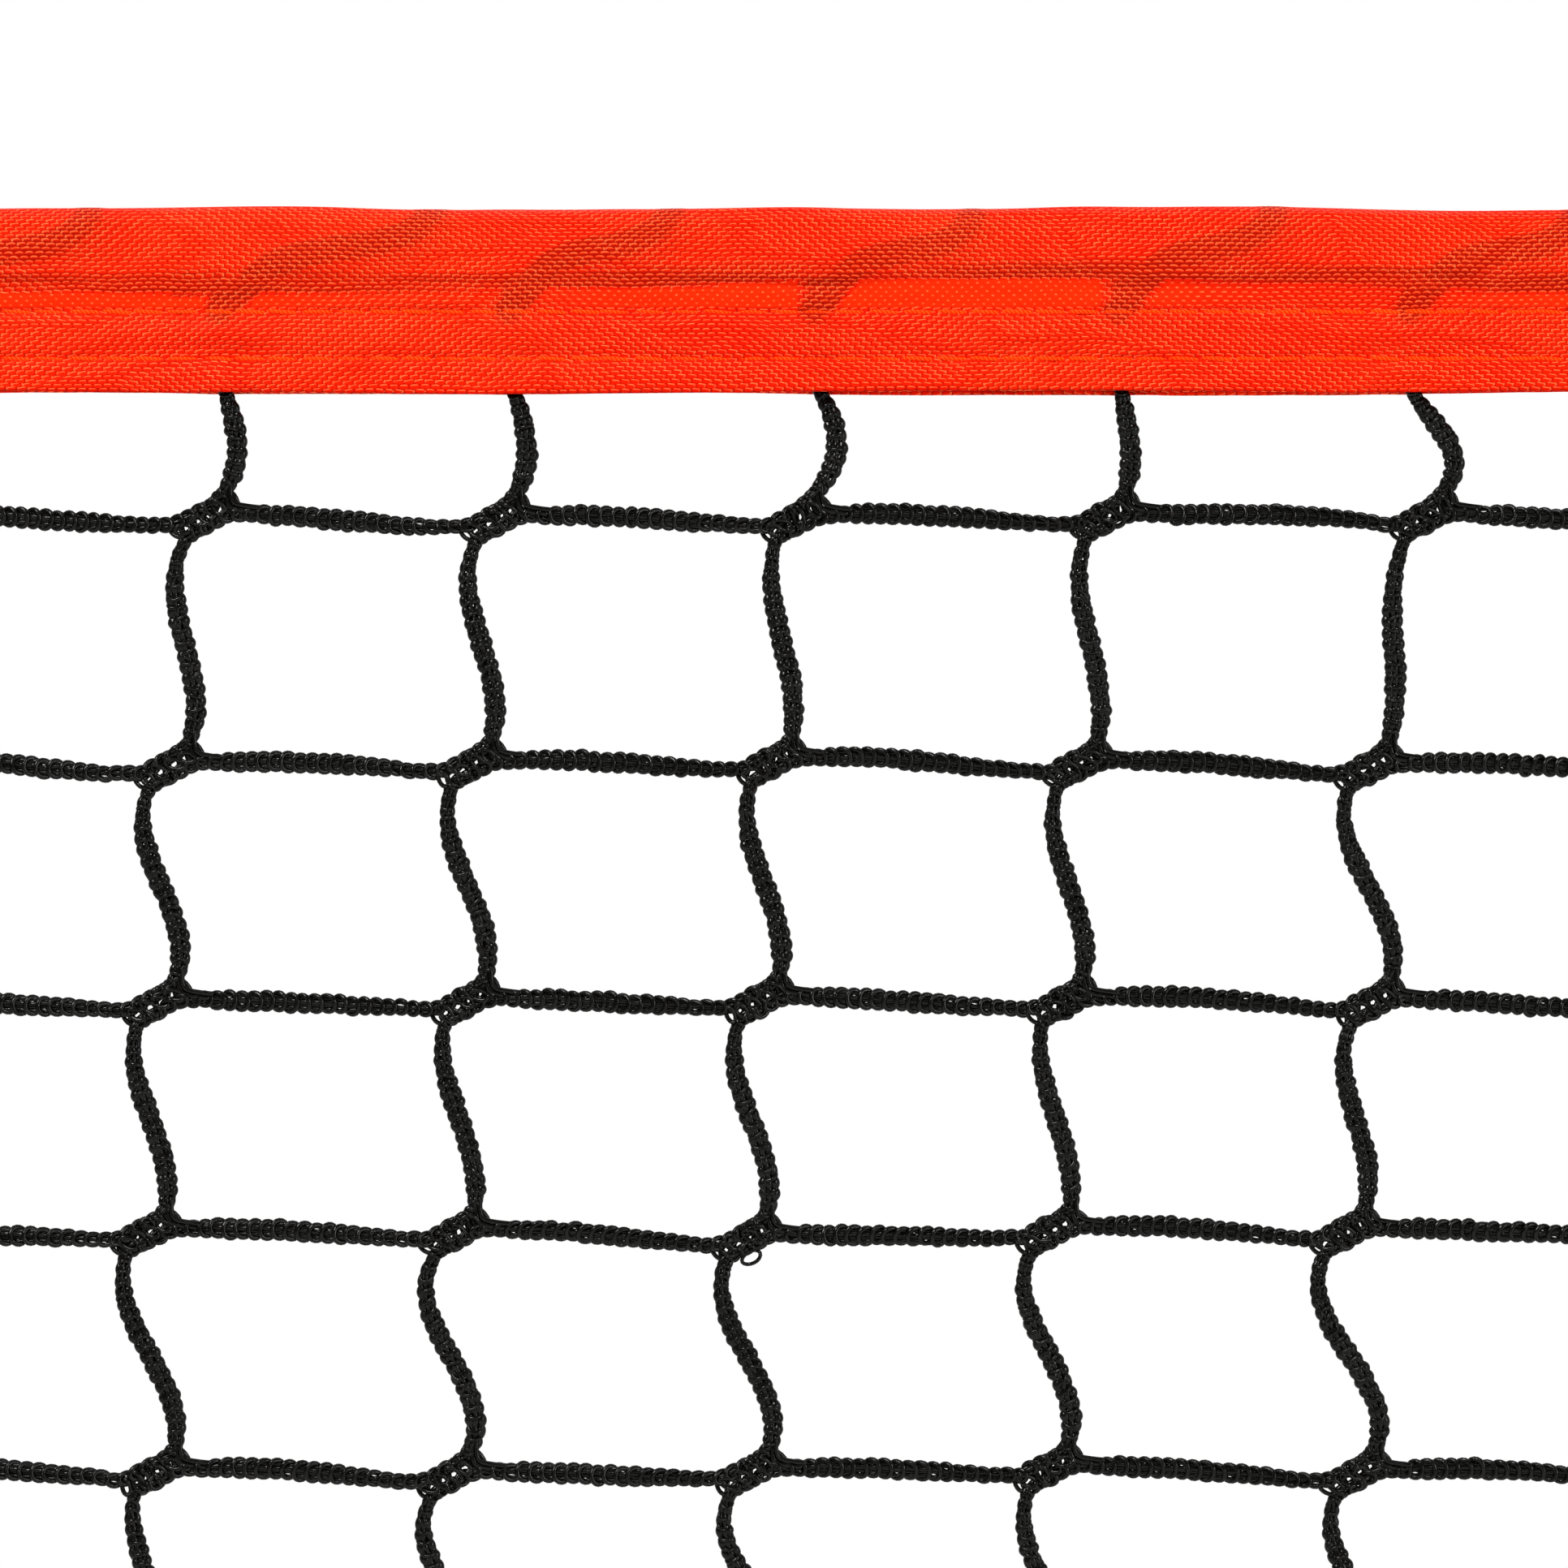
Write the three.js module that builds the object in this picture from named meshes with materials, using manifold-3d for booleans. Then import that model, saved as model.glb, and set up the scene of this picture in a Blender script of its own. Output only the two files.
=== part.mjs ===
// A portable mini-tennis net: an orange headband on square knotless netting, bordered with tape,
// hung on a headline rope and stiffened at each side by a dowel. Millimetres, +Z up, +X along the net.
// The origin is on the headline's axis, half way along the net. The front of the net faces -Y.
import * as THREE from 'three';
import * as BufferGeometryUtils from 'three/addons/utils/BufferGeometryUtils.js';
import Module from 'manifold-3d';

// ---------------------------------------------------------------- driving dimensions

const GAP = 0.3; // clearance kept between pieces that touch
const WELD = 1e-4; // corners closer than this are one corner

// netting: square mesh, the bars of one direction lie just behind those of the other
const MESH = 45; // spacing of the upright cords
const CELLS = 65; // cells along the net
const ROW_PITCH = 35.3; // spacing of the level cords
const OPEN_ROWS = 18; // level cords that show between the headband and the bottom tape
const CORD_WIDTH = 3.4;
const CORD_DEPTH = 1.6; // of each layer
const TOP_ROW_Z = -8; // level cord held inside the headband

// tapes
const NET_WIDTH = 3000; // over the side tapes
const CLOTH = 0.7;
const TAPE_HEIGHT = 28; // headband and bottom tape
const SIDE_TAPE_WIDTH = 48;
const ROPE_RADIUS = 2;
const TUNNEL_RADIUS = ROPE_RADIUS + 0.4; // also half the space between a tape's two plies
const TAPE_HALF = TUNNEL_RADIUS + CLOTH; // half a folded tape's thickness
const SEAM_DROPS = { upper: 16, lower: 23 }; // seam lines below the headband's top edge
const THREAD_WIDTH = 0.6;
const THREAD_DEPTH = 0.4;

// side pockets and their dowels
const DOWEL_RADIUS = 5;
const DOWEL_PLAY = 0.4;
const SLEEVE_WALL = 0.8;
const SLEEVE_X = 1468;
const SLEEVE_PLATE = 24;
const SLEEVE_FLOOR = 0.9;
const POCKET_DROP = 2; // from the top of the side tape to the pocket's mouth
const CAP_HEIGHT = 15;
const CAP_SOCKET = 8;
const CAP_LIP = 0.5; // chamfer round the cap's mouth
const CAP_CROWN = [[0, 2.5], [0.7, 0.8], [2.2, 0]]; // (in from the rim, down from the top)
const DOWEL_SIDES = 16;

// eyelets along the side tapes
const EYELETS = 4;
const EYELET_X = 1489;
const EYELET_BORE = 4;
const EYELET_RIM = 7;
const EYELET_WALL = 0.5;
const EYELET_FLANGE = 0.6;
const EYELET_INSET = 40; // first and last eyelet from the ends of the side tape
const EYELET_EDGE = 0.3; // softening round the rim, and how far the barrel is rolled past the washer
const PUNCH_RADIUS = EYELET_BORE + EYELET_WALL + GAP;
const EYELET_SIDES = 14;

// headline ends
const FERRULE_START = 1514;
const FERRULE_LENGTH = 17;
const RUN_SPACING = 4.9; // between the rope and its tail inside the ferrule
const EYE_RADIUS = 9.6; // rope axis round the thimble
const EYE_X = 1553;
const THIMBLE_BORE = 6.5;
const THIMBLE_SEAT = EYE_RADIUS - ROPE_RADIUS - GAP;
const THIMBLE_RIM = 9.3;
const THIMBLE_HALF = 3.1;
const THIMBLE_SIDES = 20;
const FERRULE_WALL = 1.2;
const FERRULE_END = FERRULE_START + FERRULE_LENGTH;
const STRAIGHT_X = [0, 700, 1400, NET_WIDTH / 2, FERRULE_START]; // stations along the straight rope
const PARTING = [[-5, 0], [2, 0.4], [8, 2.4]]; // (past the ferrule, away from its axis) as the runs part
const EYE_ARC = (130 * Math.PI) / 180; // to each side of the eye's far point
const EYE_STEPS = 16;
const TAIL_END = FERRULE_START - 2; // the tail is trimmed just past the ferrule

// ---------------------------------------------------------------- levels worked out from them

const BAND_TOP = TAPE_HALF;
const BAND_BOTTOM = BAND_TOP - TAPE_HEIGHT;
const rowZ = (row) => TOP_ROW_Z - ROW_PITCH * row;
const BOTTOM_ROW_Z = rowZ(OPEN_ROWS + 1);
const NET_BOTTOM = BOTTOM_ROW_Z - (BAND_TOP - TOP_ROW_Z);
const SIDE_TOP = BAND_BOTTOM - GAP;
const HALF_WIDTH = NET_WIDTH / 2;
const HALF_MESHES = (MESH * CELLS) / 2;
const BACK_OF_TAPE = TAPE_HALF + GAP;
const DOWEL_Y = BACK_OF_TAPE + SLEEVE_WALL + DOWEL_PLAY + DOWEL_RADIUS;
const SLEEVE_TOP = SIDE_TOP - POCKET_DROP;
const SIDES = [['left', -1], ['right', 1]];

// ---------------------------------------------------------------- materials

function material(color, roughness, metalness = 0) {
  return new THREE.MeshStandardMaterial({ color, roughness, metalness });
}

const ORANGE_TAPE = material(0xf5341a, 0.75);
const ORANGE_THREAD = material(0xf05020, 0.6);
const BLACK_CORD = material(0x0b0b0c, 0.5);
const WHITE_ROPE = material(0xd9d6cc, 0.8);
const NICKEL = material(0xb9bbbd, 0.3, 1);
const PALE_WOOD = material(0xc9a678, 0.6);
const BLACK_PLASTIC = material(0x151516, 0.5);

// ---------------------------------------------------------------- helpers

const group = new THREE.Group();

function add(name, geometry, look, place = [0, 0, 0], turn = [0, 0, 0]) {
  const mesh = new THREE.Mesh(geometry, look);
  mesh.name = name;
  mesh.position.set(...place);
  mesh.rotation.set(...turn);
  group.add(mesh);
}

// A (y, z) outline swept along +X from x = 0.
function sweepX(shape, length) {
  const geometry = new THREE.ExtrudeGeometry(shape, { depth: length, bevelEnabled: false, curveSegments: 6 });
  const axes = new THREE.Matrix4().makeBasis(
    new THREE.Vector3(0, 1, 0),
    new THREE.Vector3(0, 0, 1),
    new THREE.Vector3(1, 0, 0),
  );
  return geometry.applyMatrix4(axes);
}

function sweepZ(shape, height) {
  return new THREE.ExtrudeGeometry(shape, { depth: height, bevelEnabled: false, curveSegments: 8 });
}

function outline(points) {
  return new THREE.Shape(points.map(([a, b]) => new THREE.Vector2(a, b)));
}

// A ring turned about Z from a closed (radius, height) profile.
function turned(profile, segments) {
  const points = profile.map(([radius, height]) => new THREE.Vector2(radius, height));
  return new THREE.LatheGeometry([...points, points[0]], segments);
}

const wasm = await Module();
wasm.setup();

function toSolid(geometry) {
  const bare = geometry.clone();
  bare.deleteAttribute('normal');
  bare.deleteAttribute('uv');
  const merged = BufferGeometryUtils.mergeVertices(bare, WELD);
  const vertProperties = Float32Array.from(merged.attributes.position.array);
  const triVerts = Uint32Array.from(merged.index.array);
  return new wasm.Manifold(new wasm.Mesh({ numProp: 3, vertProperties, triVerts }));
}

function toGeometry(solid) {
  const { vertProperties, triVerts, numProp } = solid.getMesh();
  const positions = [];
  for (let i = 0; i < vertProperties.length; i += numProp) {
    positions.push(vertProperties[i], vertProperties[i + 1], vertProperties[i + 2]);
  }
  const geometry = new THREE.BufferGeometry();
  geometry.setAttribute('position', new THREE.Float32BufferAttribute(positions, 3));
  geometry.setIndex(Array.from(triVerts));
  return geometry;
}

// ---------------------------------------------------------------- netting

// All upright cords, joined by the level cord inside the headband and the one inside the bottom tape.
function uprightCords() {
  const height = TOP_ROW_Z - BOTTOM_ROW_Z;
  const length = 2 * HALF_MESHES;
  const opening = [MESH - CORD_WIDTH, 2 * CORD_DEPTH, height - CORD_WIDTH];
  let lattice = toSolid(new THREE.BoxGeometry(length + CORD_WIDTH, CORD_DEPTH, height + CORD_WIDTH));
  for (let cell = 0; cell < CELLS; cell += 1) {
    const middle = (cell + 0.5) * MESH - HALF_MESHES;
    lattice = lattice.subtract(toSolid(new THREE.BoxGeometry(...opening).translate(middle, 0, 0)));
  }
  return toGeometry(lattice);
}

function makeNetting() {
  const depthCentre = GAP / 2 + CORD_DEPTH / 2;
  add('netting_uprights', uprightCords(), BLACK_CORD, [0, -depthCentre, (TOP_ROW_Z + BOTTOM_ROW_Z) / 2]);
  const length = 2 * HALF_MESHES + CORD_WIDTH;
  for (let row = 1; row <= OPEN_ROWS; row += 1) {
    const bar = new THREE.BoxGeometry(length, CORD_DEPTH, CORD_WIDTH);
    add(`netting_row_${String(row).padStart(2, '0')}`, bar, BLACK_CORD, [0, depthCentre, rowZ(row)]);
  }
}

// ---------------------------------------------------------------- tapes

// The headband's section: one tape folded over the rope, its two plies hanging on both sides of the netting.
function headbandSection() {
  const shape = new THREE.Shape();
  shape.moveTo(-TAPE_HALF, BAND_BOTTOM);
  shape.lineTo(-TUNNEL_RADIUS, BAND_BOTTOM);
  shape.lineTo(-TUNNEL_RADIUS, 0);
  shape.absarc(0, 0, TUNNEL_RADIUS, Math.PI, 0, true);
  shape.lineTo(TUNNEL_RADIUS, BAND_BOTTOM);
  shape.lineTo(TAPE_HALF, BAND_BOTTOM);
  shape.lineTo(TAPE_HALF, 0);
  shape.absarc(0, 0, TAPE_HALF, 0, Math.PI, false);
  shape.closePath();
  return shape;
}

function makeHeadband() {
  add('headband', sweepX(headbandSection(), NET_WIDTH), ORANGE_TAPE, [-HALF_WIDTH, 0, 0]);
  const seamY = -TAPE_HALF - GAP - THREAD_DEPTH / 2;
  for (const [name, drop] of Object.entries(SEAM_DROPS)) {
    const thread = new THREE.BoxGeometry(NET_WIDTH, THREAD_DEPTH, THREAD_WIDTH);
    add(`headband_seam_${name}`, thread, ORANGE_THREAD, [0, seamY, BAND_TOP - drop]);
  }
}

// A flat-folded tape's section, its fold on the side of -a and its open edge on the side of +a.
function foldedSection(width) {
  return outline([
    [0, -TAPE_HALF],
    [width, -TAPE_HALF],
    [width, -TUNNEL_RADIUS],
    [CLOTH, -TUNNEL_RADIUS],
    [CLOTH, TUNNEL_RADIUS],
    [width, TUNNEL_RADIUS],
    [width, TAPE_HALF],
    [0, TAPE_HALF],
  ]);
}

function eyeletHeights() {
  const top = SIDE_TOP - EYELET_INSET;
  const bottom = NET_BOTTOM + EYELET_INSET;
  return Array.from({ length: EYELETS }, (_, i) => top + ((bottom - top) * i) / (EYELETS - 1));
}

function makeSideTape(name, side) {
  const height = SIDE_TOP - NET_BOTTOM;
  let tape = toSolid(sweepZ(foldedSection(SIDE_TAPE_WIDTH), height));
  for (const z of eyeletHeights()) {
    const punch = new THREE.CylinderGeometry(PUNCH_RADIUS, PUNCH_RADIUS, 4 * TAPE_HALF, EYELET_SIDES + 2);
    punch.translate(HALF_WIDTH - EYELET_X, 0, z - NET_BOTTOM);
    tape = tape.subtract(toSolid(punch));
  }
  const turn = side > 0 ? Math.PI : 0;
  add(`${name}_side_tape`, toGeometry(tape), ORANGE_TAPE, [side * HALF_WIDTH, 0, NET_BOTTOM], [0, 0, turn]);
}

function makeBottomTape() {
  const length = NET_WIDTH - 2 * (SIDE_TAPE_WIDTH + GAP);
  const section = outline(foldedSection(TAPE_HEIGHT).getPoints().map((p) => [-p.y, p.x]));
  add('bottom_tape', sweepX(section, length), ORANGE_TAPE, [-length / 2, 0, NET_BOTTOM]);
}

// ---------------------------------------------------------------- side pockets and dowels

function pocketOutline(bore) {
  const outer = DOWEL_RADIUS + DOWEL_PLAY + SLEEVE_WALL;
  const half = SLEEVE_PLATE / 2;
  const shape = new THREE.Shape();
  shape.moveTo(-half, -outer);
  shape.lineTo(half, -outer);
  shape.lineTo(half, -outer + SLEEVE_WALL);
  shape.lineTo(outer, -outer + SLEEVE_WALL);
  shape.lineTo(outer, 0);
  shape.absarc(0, 0, outer, 0, Math.PI, false);
  shape.lineTo(-outer, -outer + SLEEVE_WALL);
  shape.lineTo(-half, -outer + SLEEVE_WALL);
  shape.closePath();
  if (bore) {
    const hole = new THREE.Path();
    hole.absarc(0, 0, DOWEL_RADIUS + DOWEL_PLAY, 0, 2 * Math.PI, true);
    shape.holes.push(hole);
  }
  return shape;
}

function makePocket(name, side) {
  const height = SLEEVE_TOP - NET_BOTTOM;
  const tube = sweepZ(pocketOutline(true), height - SLEEVE_FLOOR / 2).translate(0, 0, SLEEVE_FLOOR / 2);
  const floor = sweepZ(pocketOutline(false), SLEEVE_FLOOR);
  const pocket = toSolid(tube).add(toSolid(floor));
  add(`${name}_dowel_pocket`, toGeometry(pocket), ORANGE_TAPE, [side * SLEEVE_X, DOWEL_Y, NET_BOTTOM]);
}

function makeDowel(name, side) {
  const start = NET_BOTTOM + SLEEVE_FLOOR + GAP;
  const end = SLEEVE_TOP + GAP + CAP_SOCKET;
  const dowel = new THREE.CylinderGeometry(DOWEL_RADIUS, DOWEL_RADIUS, end - start, DOWEL_SIDES);
  dowel.rotateX(Math.PI / 2);
  add(`${name}_dowel`, dowel, PALE_WOOD, [side * SLEEVE_X, DOWEL_Y, (start + end) / 2]);
  const rim = DOWEL_RADIUS + DOWEL_PLAY + SLEEVE_WALL;
  const socket = DOWEL_RADIUS + GAP;
  const cap = turned([
    [0, CAP_SOCKET + GAP],
    [socket, CAP_SOCKET + GAP],
    [socket, 0],
    [rim - CAP_LIP, 0],
    [rim, CAP_LIP],
    ...CAP_CROWN.map(([inset, drop]) => [rim - inset, CAP_HEIGHT - drop]),
    [0, CAP_HEIGHT],
  ], DOWEL_SIDES).rotateX(Math.PI / 2);
  add(`${name}_dowel_cap`, cap, BLACK_PLASTIC, [side * SLEEVE_X, DOWEL_Y, SLEEVE_TOP + GAP]);
}

// ---------------------------------------------------------------- eyelets

// The front half of an eyelet: a rim on the tape's face and a barrel through both plies.
function eyeletBarrel() {
  const face = -TAPE_HALF - GAP;
  const back = TAPE_HALF + GAP + EYELET_FLANGE + EYELET_EDGE;
  return turned([
    [EYELET_BORE, back],
    [EYELET_BORE, face - EYELET_FLANGE],
    [EYELET_RIM - EYELET_EDGE, face - EYELET_FLANGE],
    [EYELET_RIM, face - EYELET_FLANGE + EYELET_EDGE],
    [EYELET_RIM, face],
    [EYELET_BORE + EYELET_WALL, face],
    [EYELET_BORE + EYELET_WALL, back],
  ], EYELET_SIDES);
}

// The washer that the barrel is rolled over, on the back of the tape.
function eyeletWasher() {
  const face = TAPE_HALF + GAP;
  const rim = EYELET_RIM - EYELET_EDGE;
  return turned([
    [PUNCH_RADIUS, face],
    [rim, face],
    [rim, face + EYELET_FLANGE - EYELET_EDGE],
    [rim - EYELET_EDGE, face + EYELET_FLANGE],
    [PUNCH_RADIUS, face + EYELET_FLANGE],
  ], EYELET_SIDES);
}

// Turned about Z, then laid with +Z of the profile towards +Y.
function makeEyelets(name, side) {
  const toBack = [-Math.PI / 2, 0, 0];
  eyeletHeights().forEach((z, i) => {
    const place = [side * EYELET_X, 0, z];
    add(`${name}_eyelet_${i + 1}`, eyeletBarrel().rotateX(Math.PI / 2), NICKEL, place, toBack);
    add(`${name}_eyelet_washer_${i + 1}`, eyeletWasher().rotateX(Math.PI / 2), NICKEL, place, toBack);
  });
}

// ---------------------------------------------------------------- headline

// Half of the rope's route, from the middle of the net to the end of its tail in the ferrule.
function halfRoute() {
  const eyeZ = -RUN_SPACING / 2;
  const points = STRAIGHT_X.map((x) => [x, 0]);
  for (const [past, rise] of PARTING) points.push([FERRULE_END + past, rise]);
  for (let i = 0; i <= EYE_STEPS; i += 1) {
    const angle = EYE_ARC * (1 - (2 * i) / EYE_STEPS);
    points.push([EYE_X + EYE_RADIUS * Math.cos(angle), eyeZ + EYE_RADIUS * Math.sin(angle)]);
  }
  for (const [past, rise] of [...PARTING].reverse()) points.push([FERRULE_END + past, -RUN_SPACING - rise]);
  points.push([TAIL_END, -RUN_SPACING]);
  return points;
}

function makeRope() {
  const right = halfRoute();
  const left = right.slice(1).map(([x, z]) => [-x, z]).reverse();
  const points = [...left, ...right].map(([x, z]) => new THREE.Vector3(x, 0, z));
  const route = new THREE.CatmullRomCurve3(points, false, 'centripetal');
  route.getUtoTmapping = (u) => u; // one ring at each point of the route
  const section = new THREE.Shape();
  section.absarc(0, 0, ROPE_RADIUS, 0, 2 * Math.PI, false);
  const geometry = new THREE.ExtrudeGeometry(section, {
    steps: points.length - 1, extrudePath: route, curveSegments: 4, bevelEnabled: false,
  });
  add('headline_rope', geometry, WHITE_ROPE);
}

// A round-ended slot outline about (0, 0) and (0, -spacing).
function slotOutline(radius, Kind) {
  const path = new Kind();
  path.absarc(0, 0, radius, 0, Math.PI, false);
  path.absarc(0, -RUN_SPACING, radius, Math.PI, 2 * Math.PI, false);
  path.closePath();
  return path;
}

function makeRopeEnd(name, side) {
  const bore = ROPE_RADIUS + GAP;
  const section = slotOutline(bore + FERRULE_WALL, THREE.Shape);
  section.holes.push(slotOutline(bore, THREE.Path));
  const start = side > 0 ? FERRULE_START : -FERRULE_START - FERRULE_LENGTH;
  add(`${name}_ferrule`, sweepX(section, FERRULE_LENGTH), NICKEL, [start, 0, 0]);
  const thimble = turned([
    [THIMBLE_BORE, -THIMBLE_HALF],
    [THIMBLE_RIM, -THIMBLE_HALF],
    [THIMBLE_RIM, -ROPE_RADIUS - GAP],
    [THIMBLE_SEAT, -ROPE_RADIUS - GAP],
    [THIMBLE_SEAT, ROPE_RADIUS + GAP],
    [THIMBLE_RIM, ROPE_RADIUS + GAP],
    [THIMBLE_RIM, THIMBLE_HALF],
    [THIMBLE_BORE, THIMBLE_HALF],
  ], THIMBLE_SIDES);
  add(`${name}_thimble`, thimble, NICKEL, [side * EYE_X, 0, -RUN_SPACING / 2]);
}

// ---------------------------------------------------------------- assembly

makeRope();
makeHeadband();
makeNetting();
makeBottomTape();
for (const [name, side] of SIDES) {
  makeRopeEnd(name, side);
  makeSideTape(name, side);
  makePocket(name, side);
  makeDowel(name, side);
  makeEyelets(name, side);
}

export default group;
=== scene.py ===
"""The looks of a portable mini-tennis net: orange tape border on black knotless netting, hung on a headline."""

import math

import bpy
import numpy as np
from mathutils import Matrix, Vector


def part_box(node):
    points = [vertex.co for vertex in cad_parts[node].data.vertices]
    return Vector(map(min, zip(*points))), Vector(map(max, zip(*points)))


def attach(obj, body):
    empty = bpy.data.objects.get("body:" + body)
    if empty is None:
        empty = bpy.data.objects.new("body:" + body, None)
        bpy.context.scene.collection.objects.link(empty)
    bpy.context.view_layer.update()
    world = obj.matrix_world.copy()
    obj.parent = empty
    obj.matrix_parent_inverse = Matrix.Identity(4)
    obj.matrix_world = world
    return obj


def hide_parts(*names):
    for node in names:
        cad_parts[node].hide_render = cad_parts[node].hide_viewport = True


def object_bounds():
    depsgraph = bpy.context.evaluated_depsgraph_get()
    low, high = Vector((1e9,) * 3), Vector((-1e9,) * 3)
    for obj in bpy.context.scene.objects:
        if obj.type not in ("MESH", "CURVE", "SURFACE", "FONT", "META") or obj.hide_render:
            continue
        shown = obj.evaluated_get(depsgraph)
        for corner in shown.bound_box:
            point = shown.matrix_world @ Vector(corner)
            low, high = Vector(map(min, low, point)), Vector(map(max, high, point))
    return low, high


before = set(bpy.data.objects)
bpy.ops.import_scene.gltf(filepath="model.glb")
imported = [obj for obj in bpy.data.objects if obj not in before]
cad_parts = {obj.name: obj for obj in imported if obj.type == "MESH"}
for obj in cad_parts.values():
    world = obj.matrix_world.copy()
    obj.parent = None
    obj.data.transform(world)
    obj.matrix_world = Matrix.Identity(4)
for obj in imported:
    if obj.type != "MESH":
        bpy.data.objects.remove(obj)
CAD_LOW, CAD_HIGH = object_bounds()
MM = 0.001

# ---------------------------------------------------------------- places taken from the frame

BAND_LOW, BAND_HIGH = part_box("headband")
LATTICE_LOW, LATTICE_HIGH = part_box("netting_uprights")
ROW_NODES = sorted(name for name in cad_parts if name.startswith("netting_row_"))
ROW_BOXES = [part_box(name) for name in ROW_NODES]
CORD_WIDTH = ROW_BOXES[0][1].z - ROW_BOXES[0][0].z
TOP_ROW = LATTICE_HIGH.z - CORD_WIDTH / 2
BOTTOM_ROW = LATTICE_LOW.z + CORD_WIDTH / 2
ROW_LEVELS = [TOP_ROW] + [(low.z + high.z) / 2 for low, high in ROW_BOXES] + [BOTTOM_ROW]
MESH = 45 * MM
LATTICE_WIDTH = LATTICE_HIGH.x - LATTICE_LOW.x - CORD_WIDTH
COLUMNS = round(LATTICE_WIDTH / MESH) + 1
COLUMN_X = [LATTICE_LOW.x + CORD_WIDTH / 2 + MESH * i for i in range(COLUMNS)]

# the stretch of net that the camera sees is knitted stitch by stitch, the rest more simply
VIEW_COLUMN = COLUMNS // 2
VIEW_CENTRE = Vector((COLUMN_X[VIEW_COLUMN] + 0.5 * MM, 0, BAND_HIGH.z - 86.6 * MM))
VIEW_WIDTH = 235 * MM

# ---------------------------------------------------------------- camera, light and floor


def make_camera():
    data = bpy.data.cameras.new("camera")
    data.lens = 100
    data.sensor_width = 36
    camera = bpy.data.objects.new("camera", data)
    bpy.context.scene.collection.objects.link(camera)
    distance = VIEW_WIDTH / 2 / math.tan(math.atan(data.sensor_width / 2 / data.lens))
    camera.location = VIEW_CENTRE + Vector((0, -distance, 0))
    camera.rotation_euler = (math.pi / 2, 0, 0)
    data.clip_start = 0.01
    data.clip_end = 100
    bpy.context.scene.camera = camera


def area_light(name, place, target, size, power):
    data = bpy.data.lights.new(name, "AREA")
    data.shape = "SQUARE"
    data.size = size
    data.energy = power
    lamp = bpy.data.objects.new(name, data)
    bpy.context.scene.collection.objects.link(lamp)
    lamp.location = place
    lamp.rotation_euler = (Vector(target) - Vector(place)).to_track_quat("-Z", "Y").to_euler()


def make_world():
    """A white surround with a dim front, as with a camera in a light tent. What the camera sees of it is plain white."""
    world = bpy.data.worlds.new("studio")
    bpy.context.scene.world = world
    world.use_nodes = True
    tree = world.node_tree
    background = tree.nodes["Background"]
    place = tree.nodes.new("ShaderNodeTexCoord")
    axes = tree.nodes.new("ShaderNodeSeparateXYZ")
    ramp = tree.nodes.new("ShaderNodeMapRange")
    ramp.inputs["From Min"].default_value = -0.35
    ramp.inputs["From Max"].default_value = 0.35
    ramp.inputs["To Min"].default_value = 0.14
    ramp.inputs["To Max"].default_value = 0.6
    light_path = tree.nodes.new("ShaderNodeLightPath")
    seen = tree.nodes.new("ShaderNodeMath")
    seen.operation = "MAXIMUM"
    tree.links.new(place.outputs["Generated"], axes.inputs[0])
    tree.links.new(axes.outputs["Y"], ramp.inputs["Value"])
    tree.links.new(ramp.outputs[0], seen.inputs[0])
    tree.links.new(light_path.outputs["Is Camera Ray"], seen.inputs[1])
    tree.links.new(seen.outputs[0], background.inputs["Color"])
    background.inputs["Strength"].default_value = 1.0


def make_floor():
    reach, back, drop = 14.0, 2.6, 60 * MM
    level = CAD_LOW.z - drop
    corners = [(-reach, -reach, level), (reach, -reach, level), (reach, back, level), (-reach, back, level)]
    mesh = bpy.data.meshes.new("floor")
    mesh.from_pydata(corners, [], [(0, 1, 2, 3)])
    floor = bpy.data.objects.new("floor", mesh)
    bpy.context.scene.collection.objects.link(floor)
    look = bpy.data.materials.new("pale_floor")
    look.use_nodes = True
    shader = look.node_tree.nodes["Principled BSDF"]
    shader.inputs["Base Color"].default_value = (0.9, 0.9, 0.9, 1)
    shader.inputs["Roughness"].default_value = 0.8
    mesh.materials.append(look)


make_camera()
make_world()
make_floor()
area_light("key", (-0.9, -1.5, 1.6), (0, 0, -0.15), 0.7, 62)
area_light("fill", (2.0, -1.8, 0.3), (0, 0, -0.2), 1.0, 32)
area_light("overhead", (0, 0.8, 3.0), (0, 0.8, 0), 6.0, 40)
bpy.context.scene.view_settings.view_transform = "Standard"

# ---------------------------------------------------------------- mesh helpers


def grid_rims(keep):
    """Corner indices of the quads that join two equal grids along every edge between a kept cell and an absent one."""
    rows, columns = keep.shape[0] + 1, keep.shape[1] + 1
    index = np.arange(rows * columns).reshape(rows, columns)
    other = index + rows * columns
    around = np.pad(keep, 1)
    rims = []
    before, after = around[:-1, 1:-1], around[1:, 1:-1]
    p, q, p2, q2 = index[:, :-1], index[:, 1:], other[:, :-1], other[:, 1:]
    rims.append(np.stack([p, q, q2, p2], -1)[after & ~before])
    rims.append(np.stack([q, p, p2, q2], -1)[before & ~after])
    before, after = around[1:-1, :-1], around[1:-1, 1:]
    p, q, p2, q2 = index[:-1, :], index[1:, :], other[:-1, :], other[1:, :]
    rims.append(np.stack([q, p, p2, q2], -1)[after & ~before])
    rims.append(np.stack([p, q, q2, p2], -1)[before & ~after])
    return np.vstack(rims)


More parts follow.
